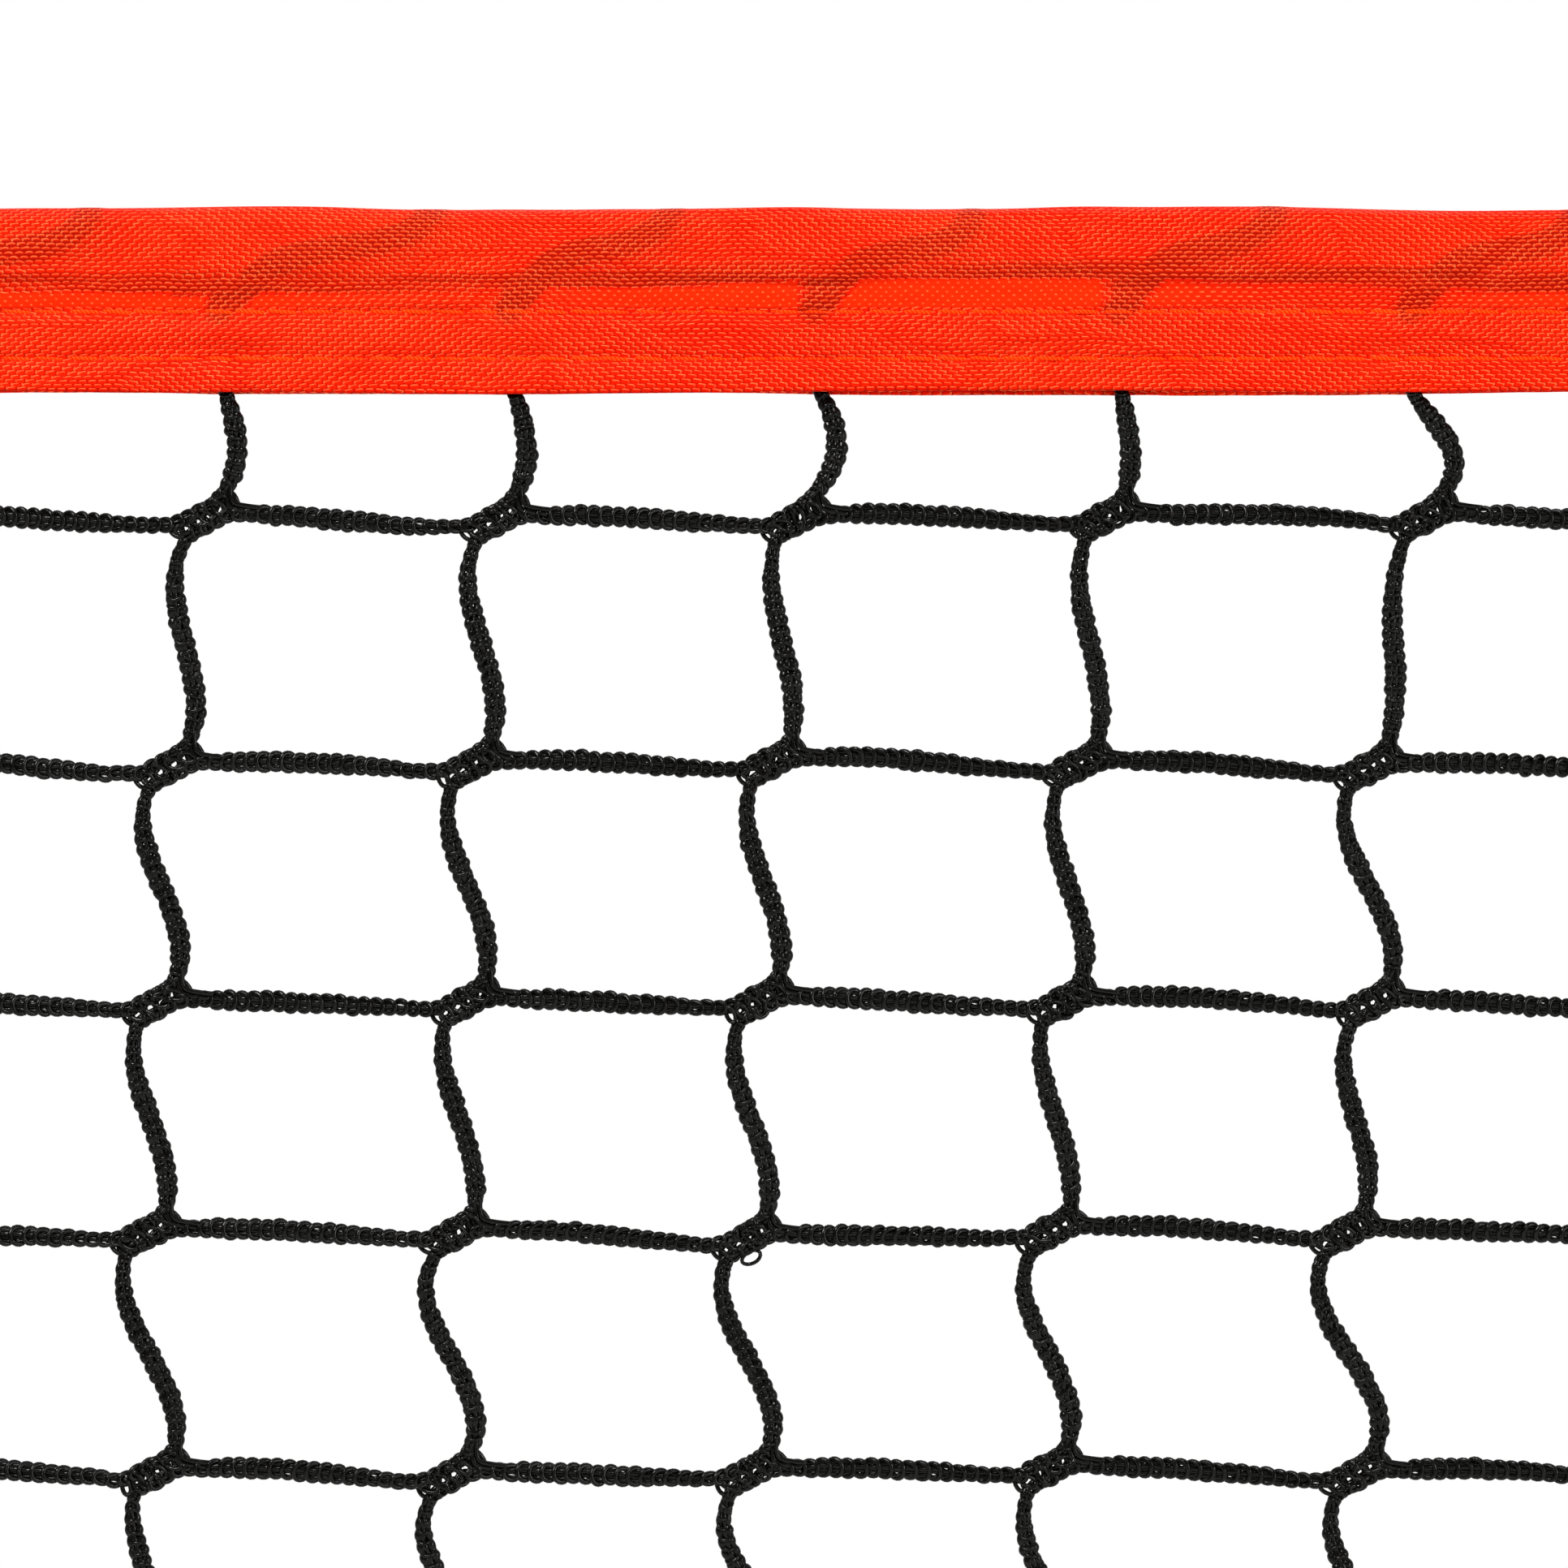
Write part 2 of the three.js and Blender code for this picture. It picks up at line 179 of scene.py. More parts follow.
class Builder:
    """Gathers tubes, sheets and turned shapes of one piece as arrays."""

    def __init__(self):
        self.points = []
        self.quads = []
        self.cloth = []
        self.count = 0

    def add(self, points, quads, cloth=None):
        self.points.append(points)
        self.quads.append(quads + self.count)
        self.cloth.append(np.zeros((len(points), 3)) if cloth is None else cloth)
        self.count += len(points)

    def add_closed(self, points, quads, cloth=None):
        """Adds a closed surface, turned so that its faces point out."""
        a, b, c, d = (points[quads[:, i]] for i in range(4))
        volume = np.sum(a * (np.cross(b, c) + np.cross(c, d)))
        self.add(points, quads if volume > 0 else quads[:, ::-1], cloth)

    def sheet(self, outer, inner, cloth, keep=None):
        """A cloth between two equal grids of points, with its rims. keep says which cells of the grid are there."""
        rows, columns = outer.shape[:2]
        if keep is None:
            keep = np.ones((rows - 1, columns - 1), bool)
        index = np.arange(rows * columns).reshape(rows, columns)
        face = np.stack([index[:-1, :-1], index[1:, :-1], index[1:, 1:], index[:-1, 1:]], -1)[keep]
        quads = np.vstack([face, face[:, ::-1] + rows * columns, grid_rims(keep)])
        points = np.vstack([outer.reshape(-1, 3), inner.reshape(-1, 3)])
        self.add_closed(points, quads, np.vstack([cloth.reshape(-1, 3)] * 2))

    def sleeve(self, outer, inner):
        """A tube with a wall, from two grids of rings."""
        rings, sides = outer.shape[:2]
        i, j = np.meshgrid(np.arange(rings - 1), np.arange(sides), indexing="ij")
        index = lambda i, j: i * sides + j % sides
        face = np.stack([index(i, j), index(i + 1, j), index(i + 1, j + 1), index(i, j + 1)], -1).reshape(-1, 4)
        side = np.arange(sides)
        first = np.stack([side, (side + 1) % sides, (side + 1) % sides + rings * sides, side + rings * sides], -1)
        last = first[:, ::-1] + (rings - 1) * sides
        quads = np.vstack([face, face[:, ::-1] + rings * sides, first, last])
        self.add_closed(np.vstack([outer.reshape(-1, 3), inner.reshape(-1, 3)]), quads)

    def tube(self, path, across, depth, radius, sides, closed=False, flat=1.0):
        """A tube along path. across and depth are unit vectors at each point, square to the path."""
        rings = len(path)
        radius = np.broadcast_to(np.asarray(radius, float), (rings,))
        turn = np.arange(sides) * 2 * math.pi / sides
        ring = (
            across[:, None, :] * np.cos(turn)[None, :, None]
            + depth[:, None, :] * np.sin(turn)[None, :, None] * flat
        )
        points = (path[:, None, :] + ring * radius[:, None, None]).reshape(-1, 3)
        steps = rings if closed else rings - 1
        i = np.arange(steps)[:, None]
        j = np.arange(sides)[None, :]
        a = i * sides + j
        b = i * sides + (j + 1) % sides
        c = ((i + 1) % rings) * sides + (j + 1) % sides
        d = ((i + 1) % rings) * sides + j
        quads = np.stack([a, b, c, d], -1).reshape(-1, 4)
        if not closed:
            points = np.vstack([points, path[0], path[-1]])
            first, last = rings * sides, rings * sides + 1
            j = np.arange(0, sides, 2)
            start = np.stack([np.full_like(j, first), (j + 2) % sides, (j + 1) % sides, j], -1)
            end_ring = (rings - 1) * sides
            end = np.stack(
                [np.full_like(j, last), end_ring + j, end_ring + (j + 1) % sides, end_ring + (j + 2) % sides], -1
            )
            quads = np.vstack([quads, start, end])
        self.add(points, quads)

    def loops(self, paths, radius, sides):
        """Closed tubes, one along each path of an array of closed paths."""
        count, length, _ = paths.shape
        tangent = unit(np.roll(paths, -1, 1) - np.roll(paths, 1, 1))
        first, second = square_to(tangent, paths - paths.mean(1, keepdims=True))
        turn = np.arange(sides) * 2 * math.pi / sides
        ring = first[:, :, None] * np.cos(turn)[:, None] + second[:, :, None] * np.sin(turn)[:, None]
        radius = np.broadcast_to(np.asarray(radius, float), (count,))
        points = paths[:, :, None] + ring * radius[:, None, None, None]
        loop, i, j = np.meshgrid(np.arange(count), np.arange(length), np.arange(sides), indexing="ij")
        index = lambda i, j: (loop * length + i % length) * sides + j % sides
        quads = np.stack([index(i, j), index(i, j + 1), index(i + 1, j + 1), index(i + 1, j)], -1)
        self.add(points.reshape(-1, 3), quads.reshape(-1, 4))

    def make(self, name, look):
        quads = np.vstack(self.quads)
        used, quads = np.unique(quads, return_inverse=True)
        points, cloth = np.vstack(self.points)[used], np.vstack(self.cloth)[used]
        quads = quads.reshape(-1, 4)
        mesh = bpy.data.meshes.new(name)
        mesh.vertices.add(len(points))
        mesh.vertices.foreach_set("co", points.astype(np.float32).ravel())
        mesh.loops.add(quads.size)
        mesh.loops.foreach_set("vertex_index", quads.astype(np.int32).ravel())
        mesh.polygons.add(len(quads))
        mesh.polygons.foreach_set("loop_start", np.arange(0, quads.size, 4, dtype=np.int32))
        mesh.polygons.foreach_set("use_smooth", np.ones(len(quads), bool))
        if np.any(cloth):
            layer = mesh.attributes.new("cloth", "FLOAT_VECTOR", "POINT")
            layer.data.foreach_set("vector", cloth.astype(np.float32).ravel())
        mesh.update()
        mesh.materials.append(look)
        piece = bpy.data.objects.new(name, mesh)
        bpy.context.scene.collection.objects.link(piece)
        return piece


def unit(vectors):
    return vectors / np.maximum(np.linalg.norm(vectors, axis=-1, keepdims=True), 1e-12)


def tangents(path):
    return unit(np.gradient(path, axis=0))


def square_to(tangent, reference):
    """Two unit vectors square to each tangent, the first as near to the reference as can be."""
    first = unit(reference - tangent * np.sum(reference * tangent, -1, keepdims=True))
    return first, np.cross(tangent, first)


def resample(path, step):
    """Points at equal steps along a path, and their distances along it."""
    lengths = np.concatenate([[0], np.cumsum(np.linalg.norm(np.diff(path, axis=0), axis=1))])
    count = max(2, int(round(lengths[-1] / step)) + 1)
    along = np.linspace(0, lengths[-1], count)
    return np.stack([np.interp(along, lengths, path[:, i]) for i in range(3)], -1), along


def hermite(start, leave, end, arrive, count):
    t = np.linspace(0, 1, count)[:, None]
    return (
        (2 * t**3 - 3 * t**2 + 1) * start
        + (t**3 - 2 * t**2 + t) * leave
        + (3 * t**2 - 2 * t**3) * end
        + (t**3 - t**2) * arrive
    )


# ---------------------------------------------------------------- where the cords run

SLANT = np.array([0.881, 0.0, 0.473])  # a joint's long axis, from lower left to upper right
ACROSS_SLANT = np.array([-0.473, 0.0, 0.881])
PASSING = 1.3 * MM  # from that axis to each of the two cords that pass through the joint
UPPER_END = np.array([3.4, 0, 4.4]) * MM  # where the cord above comes in
LOWER_END = np.array([-2.8, 0, -3.5]) * MM  # where the cord below leaves
RIGHT_END = np.array([5.2, 0, 0.8]) * MM  # where the level cord leaves
LEFT_END = -RIGHT_END


def lean(row):
    """How far the slack netting hangs to one side, row by row."""
    return (7.3 - 12.3 * (1 - math.exp(-((row / 1.75) ** 1.6))) - (2.1 if row == 0 else 0)) * MM


def sag(row):
    """How far the slack netting hangs below its even spacing."""
    return -3.1 * MM * (1 - math.exp(-((row / 1.6) ** 3))) * (1 - row / (len(ROW_LEVELS) - 1))


def place_joints():
    rng = np.random.default_rng(11)
    last = len(ROW_LEVELS) - 1
    joints = np.zeros((len(ROW_LEVELS), COLUMNS, 3))
    edge = 1 - np.abs(np.linspace(-1, 1, COLUMNS)) ** 12  # the netting is sewn down at its two sides
    for row, level in enumerate(ROW_LEVELS):
        shake = rng.normal(0, 0.8, (COLUMNS, 3)) * MM * [1.0, 0.2, 0.5]
        joints[row, :, 0] = np.array(COLUMN_X) + lean(row) * edge
        joints[row, :, 2] = level + sag(row)
        joints[row] += shake * ([1.4, 0.3, 0.3] if row in (0, last) else 1)
        joints[row, :, 1] *= edge
    return joints


JOINTS = place_joints()


def join_routes(parts):
    """One route out of stretches that follow each other, with each point's share of the open bar."""
    shares = [np.linspace(-0.12, 0, len(parts[0])), np.linspace(0, 1, len(parts[1]))]
    shares.append(np.linspace(1, 1.12, len(parts[2])))
    route = np.vstack([parts[0], parts[1][1:], parts[2][1:]])
    return route, np.concatenate([shares[0], shares[1][1:], shares[2][1:]])


def level_bar(row, column):
    """From the lower side of one joint to the upper side of the next one."""
    rng = np.random.default_rng(5000 + 100 * row + column)
    first, second = JOINTS[row, column], JOINTS[row, column + 1]
    leave = np.array([1.0, rng.normal(0, 0.07), rng.normal(0.05, 0.05)])
    arrive = np.array([1.0, rng.normal(0, 0.07), rng.normal(-0.06, 0.04)])
    start, end = first - ACROSS_SLANT * PASSING, second + ACROSS_SLANT * PASSING
    return join_routes([
        hermite(start, SLANT * 5 * MM, first + RIGHT_END, leave * 5 * MM, 8),
        hermite(first + RIGHT_END, leave * 34 * MM, second + LEFT_END, arrive * 34 * MM, 40),
        hermite(second + LEFT_END, arrive * 5 * MM, end, SLANT * 5 * MM, 8),
    ])


def upright_bar(row, column):
    """From the lower side of one joint to the upper side of the next one below."""
    rng = np.random.default_rng(9000 + 100 * row + column)
    first, second = JOINTS[row, column], JOINTS[row + 1, column]
    swing = float(np.clip(rng.normal(0.9, 0.6), 0.0, 2.2))
    leave = np.array([-0.08 - 0.26 * swing, rng.normal(0, 0.1), -1.0])
    arrive = np.array([-0.05 - 0.2 * swing, rng.normal(0, 0.1), -1.0])
    start, lower_end, way = first - ACROSS_SLANT * PASSING, first + LOWER_END, -SLANT * 4 * MM
    if row == 0:  # straight down inside the headband, then a bow to the right
        start, lower_end = first, first + np.array([0.4 * MM, 0, BAND_LOW.z + 1 * MM - first[2]])
        way = np.array([0, 0, -17]) * MM
        leave = np.array([0.12 + 0.28 * swing, rng.normal(0, 0.05), -1.0])
        arrive = np.array([-0.3 - 0.35 * swing, rng.normal(0, 0.1), -1.0])
    upper_end, end = second + UPPER_END, second + ACROSS_SLANT * PASSING
    reach = np.linalg.norm(upper_end - lower_end)
    return join_routes([
        hermite(start, way, lower_end, leave * np.linalg.norm(way), 8),
        hermite(lower_end, leave * reach, upper_end, arrive * reach, 40),
        hermite(upper_end, arrive * 4.5 * MM, end, -SLANT * 4.5 * MM, 8),
    ])


def along_route(route, share, step):
    lengths = np.concatenate([[0], np.cumsum(np.linalg.norm(np.diff(route, axis=0), axis=1))])
    even, along = resample(route, step)
    return even, along, np.interp(along, lengths, share)


# ---------------------------------------------------------------- knitted cord

# a loop's half size in millimetres across the cord, along it and in depth, its strand's radius and its spacing
LEVEL_LOOP = dict(across=1.24, fore=1.06, depth=0.50, strand=0.42, pitch=1.84)
UPRIGHT_LOOP = dict(across=1.02, fore=0.62, depth=0.80, strand=0.31, pitch=1.70)
STITCH = LEVEL_LOOP["pitch"] * MM
LOOP_POINTS = 16


def smooth(t):
    t = np.clip(t, 0, 1)
    return t * t * (3 - 2 * t)


def bar_width(share, level):
    """A cord is narrow where it leaves a joint, and a level one is twisted narrow before the next."""
    if level:
        return 0.70 + 0.32 * smooth(share / 0.2) * smooth((1.0 - share) / 0.5)
    return 0.72 + 0.34 * smooth(share / 0.4) * smooth((1.06 - share) / 0.2)


def bar_axes(path):
    tangent = tangents(path)
    across = unit(np.cross(np.array([0.0, 1.0, 0.0]), tangent))
    return tangent, across, np.cross(tangent, across)


def laid_in_threads(builder, route, share, level, threads, pitch, swell, rng):
    """The threads that run along inside a cord, swaying a little and bulging between one loop and the next."""
    line, distance, share = along_route(route, share, pitch / 6)
    _, across, deep = bar_axes(line)
    width = bar_width(share, level)
    knots = np.arange(0, distance[-1] + 2 * pitch, pitch)
    for i, (offset, depth, radius) in enumerate(threads):
        stray = np.interp(distance, knots, rng.normal(0, 0.07, len(knots)))
        sway = offset * width + 0.04 * np.sin(distance * math.pi / pitch + 1.3 * i) + stray
        thread = line + (across * sway[:, None] + deep * depth) * MM
        bulge = 1 + swell * (1.6 * np.abs(np.sin(distance * math.pi / pitch)) ** 0.8 - 1)
        fat = np.interp(distance, knots + pitch / 2, rng.normal(1, 0.06, len(knots)))
        builder.tube(thread, across, deep, radius * width * bulge * fat * MM, 8, flat=0.9)


def knit(builder, route, share, level, seed):
    """One loop for each stitch round the laid-in threads. Along a level cord every loop lies over the next; down an
    upright one they are drawn tight and the threads bulge between them."""
    rng = np.random.default_rng(seed)
    size = LEVEL_LOOP if level else UPRIGHT_LOOP
    path, along, stitch_share = along_route(route, share, size["pitch"] * MM)
    count = len(path)
    tangent, across, deep = bar_axes(path)
    twist = np.interp(along, np.arange(0, 60, 12) * MM, rng.normal(0, 0.2, 5))[:, None]
    side_axis = across * np.cos(twist) + deep * np.sin(twist)
    deep_axis = deep * np.cos(twist) - across * np.sin(twist)
    width = bar_width(stitch_share, level) * rng.normal(1, 0.035, count)
    angle = np.arange(LOOP_POINTS) * 2 * math.pi / LOOP_POINTS
    cos_angle, sin_angle = np.cos(angle)[None, :], np.sin(angle)[None, :]
    facing = rng.choice([-1, 1])
    turned = rng.normal(0, 0.14 if level else 0.26, count)[:, None]
    aside = size["across"] * width[:, None] * np.sign(cos_angle) * np.abs(cos_angle) ** 0.85
    fore = size["fore"] * sin_angle * rng.normal(1, 0.06 if level else 0.3, count)[:, None]
    inward = -facing * size["depth"] * sin_angle * np.ones((count, 1))
    sideways = (aside * np.cos(turned) - fore * np.sin(turned))[..., None] * side_axis[:, None, :]
    forward = (aside * np.sin(turned) + fore * np.cos(turned))[..., None] * tangent[:, None, :]
    shift = side_axis * rng.normal(0, 0.07, count)[:, None]
    loops = sideways + forward + inward[..., None] * deep_axis[:, None, :] + shift[:, None, :]
    builder.loops(path[:, None, :] + MM * loops, size["strand"] * MM * (0.8 + 0.2 * width), 8)
    if level:
        threads = [(-0.80, 0.1, 0.36), (-0.22, -0.1, 0.44), (0.22, 0.1, 0.44), (0.80, -0.1, 0.36)]
    else:
        threads = [(-0.76, 0.05, 0.68), (0.0, -0.30, 0.50), (0.0, 0.30, 0.50), (0.76, -0.05, 0.68)]
    laid_in_threads(builder, route, share, level, threads, along[1], 0.10 if level else 0.28, rng)


def plain_bar(builder, route, share, level, seed):
    """The same cord with one bump for each stitch, for the stretches out of the camera's view."""
    rng = np.random.default_rng(seed)
    path, along, share = along_route(route, share, STITCH / 2)
    tangent, across, deep = bar_axes(path)
    bump = 1 + 0.12 * np.where(np.arange(len(path)) % 2 == 0, 1, -1)
    radius = 1.56 * MM * bar_width(share, level) * bump * rng.normal(1, 0.03)
    builder.tube(path, across, deep, radius, 6, flat=0.72)


def ring_path(centre, long_axis, long_half, short_half, ripple=0.0):
    """A closed loop facing the front, its sides a little before and behind its plane."""
    angle = np.arange(LOOP_POINTS) * 2 * math.pi / LOOP_POINTS
    short_axis = np.array([-long_axis[2], 0.0, long_axis[0]])
    flat = long_axis * (np.cos(angle) * long_half)[:, None] + short_axis * (np.sin(angle) * short_half)[:, None]
    return centre + flat + np.array([0.0, 1.0, 0.0]) * (np.sin(angle * 2) * ripple)[:, None]


def turned_axis(angle):
    return np.array([math.cos(angle), 0.0, math.sin(angle)])


def tie(builder, joint, seed, detailed):
    """The threads that link the two cords passing through a joint."""
    rng = np.random.default_rng(seed)
    slope = math.atan2(SLANT[2], SLANT[0])
    if not detailed:
        stations = np.linspace(-1, 1, 7)
        radius = 1.5 * MM * np.sqrt(np.maximum(0, 1 - (stations * 0.93) ** 2))
        line = joint + SLANT * (stations * 4.4 * MM)[:, None]
        ones = np.ones((len(stations), 1))
        builder.tube(line, ACROSS_SLANT * ones, np.array([0.0, 1.0, 0.0]) * ones, radius, 6, flat=0.7)
        return
    front = np.array([0.0, -1.0, 0.0])
    rings, strands = [], []
    for place in (-2.9, -0.9, 1.1, 3.1):
        for face in (-1, 1):
            centre = joint + SLANT * (place + rng.normal(0, 0.3)) * MM + front * face * 0.42 * MM
            axis = turned_axis(slope + math.pi / 2 + rng.normal(0.5 * face, 0.3))
            rings.append(ring_path(centre, axis, (1.45 + rng.normal(0, 0.15)) * MM, 0.72 * MM, 0.25 * MM))
            strands.append(0.36 * MM)
    crotch = joint + np.array([4.5, rng.normal(0, 0.2), 2.3]) * MM
    rings.append(ring_path(crotch, turned_axis(-1.0 + rng.normal(0, 0.2)), 1.8 * MM, 0.8 * MM, 0.2 * MM))
    under = joint + np.array([-3.9, rng.normal(0, 0.2), -1.9]) * MM
    rings.append(ring_path(under, turned_axis(-0.9 + rng.normal(0, 0.2)), 1.2 * MM, 0.6 * MM, 0.2 * MM))
    strands += [0.36 * MM, 0.36 * MM]
    if rng.random() < 0.12:
        loose = joint - ACROSS_SLANT * 2.8 * MM + SLANT * rng.normal(0.2, 0.8) * MM
        rings.append(ring_path(loose, turned_axis(slope + rng.normal(0.1, 0.2)), 1.5 * MM, 0.9 * MM, 0.3 * MM))
        strands.append(0.3 * MM)
    builder.loops(np.array(rings), np.array(strands), 7)
    web = np.array([[4.1, -0.2, 5.6], [4.2, -0.35, 3.4], [4.8, -0.4, 2.3], [6.4, -0.35, 1.9], [8.8, -0.2, 1.6]])
    for inset, strand in ((-0.1, 0.40), (0.5, 0.55), (1.1, 0.6)):
        line = hermite_chain(joint + (web - [inset, 0.15 - inset * 0.7, inset]) * MM, 6)
        first, second = square_to(tangents(line), front * np.ones((len(line), 1)))
        builder.tube(line, first, second, strand * MM, 6)


def hermite_chain(points, count):
    """A smooth route through given points."""
    ways = np.gradient(points, axis=0)
    parts = [hermite(points[i], ways[i], points[i + 1], ways[i + 1], count)[:-1] for i in range(len(points) - 1)]
    return np.vstack(parts + [points[-1:]])


# ---------------------------------------------------------------- materials


class Nodes:
    """A short way to write a material's nodes."""

    def __init__(self, look):
        self.tree = look.node_tree
        self.shader = self.tree.nodes["Principled BSDF"]

    def link(self, value, socket):
        if hasattr(value, "is_linked") or hasattr(value, "links"):
            self.tree.links.new(value, socket)
        else:
            socket.default_value = value

    def math(self, operation, a, b=0.0, c=0.0):
        node = self.tree.nodes.new("ShaderNodeMath")
        node.operation = operation
        for socket, value in zip(node.inputs, (a, b, c)):
            self.link(value, socket)
        return node.outputs[0]

    def step(self, value, low, high):
        """Rises smoothly from 0 to 1 as the value goes from low to high."""
        node = self.tree.nodes.new("ShaderNodeMapRange")
        node.interpolation_type = "SMOOTHSTEP"
        self.link(value, node.inputs["Value"])
        node.inputs["From Min"].default_value = low
        node.inputs["From Max"].default_value = high
        return node.outputs[0]

    def mix(self, share, a, b):
        node = self.tree.nodes.new("ShaderNodeMix")
        node.data_type = "RGBA"
        self.link(share, node.inputs[0])
        for socket, value in ((node.inputs[6], a), (node.inputs[7], b)):
            self.link((*value, 1) if isinstance(value, tuple) else value, socket)
        return node.outputs[2]

    def noise(self, vector, scale, detail=2.0, stretch=None):
        node = self.tree.nodes.new("ShaderNodeTexNoise")
        node.inputs["Scale"].default_value = scale
        node.inputs["Detail"].default_value = detail
        if stretch:
            mapping = self.tree.nodes.new("ShaderNodeMapping")
            mapping.inputs["Scale"].default_value = stretch
            self.tree.links.new(vector, mapping.inputs["Vector"])
            vector = mapping.outputs[0]
        self.tree.links.new(vector, node.inputs["Vector"])
        return node.outputs["Fac"]

    def place(self):
        return self.tree.nodes.new("ShaderNodeTexCoord").outputs["Object"]

    def attribute(self, name):
        node = self.tree.nodes.new("ShaderNodeAttribute")
        node.attribute_name = name
        return node.outputs["Vector"]

    def split(self, vector):
        node = self.tree.nodes.new("ShaderNodeSeparateXYZ")
        self.tree.links.new(vector, node.inputs[0])
        return node.outputs[0], node.outputs[1], node.outputs[2]

    def join(self, x, y):
        node = self.tree.nodes.new("ShaderNodeCombineXYZ")
        self.link(x, node.inputs[0])
        self.link(y, node.inputs[1])
        return node.outputs[0]

    def bump(self, height, strength, distance):
        node = self.tree.nodes.new("ShaderNodeBump")
        node.inputs["Strength"].default_value = strength
        node.inputs["Distance"].default_value = distance
        self.tree.links.new(height, node.inputs["Height"])
        self.tree.links.new(node.outputs[0], self.shader.inputs["Normal"])

    def colour(self, value):
        self.link(value, self.shader.inputs["Base Color"])

    def roughness(self, value):
        self.link(value, self.shader.inputs["Roughness"])


def new_material(name, roughness, metallic=0.0, specular=0.5, tint=(1.0, 1.0, 1.0)):
    look = bpy.data.materials.new(name)
    look.use_nodes = True
    nodes = Nodes(look)
    nodes.shader.inputs["Roughness"].default_value = roughness
    nodes.shader.inputs["Metallic"].default_value = metallic
    nodes.shader.inputs["Specular IOR Level"].default_value = specular
    nodes.shader.inputs["Specular Tint"].default_value = (*tint, 1)
    return look, nodes


YARN_ALONG = 1.53 * MM  # one repeat of the tape's weave along the tape
YARN_ACROSS = 0.645 * MM  # one yarn of it across the tape


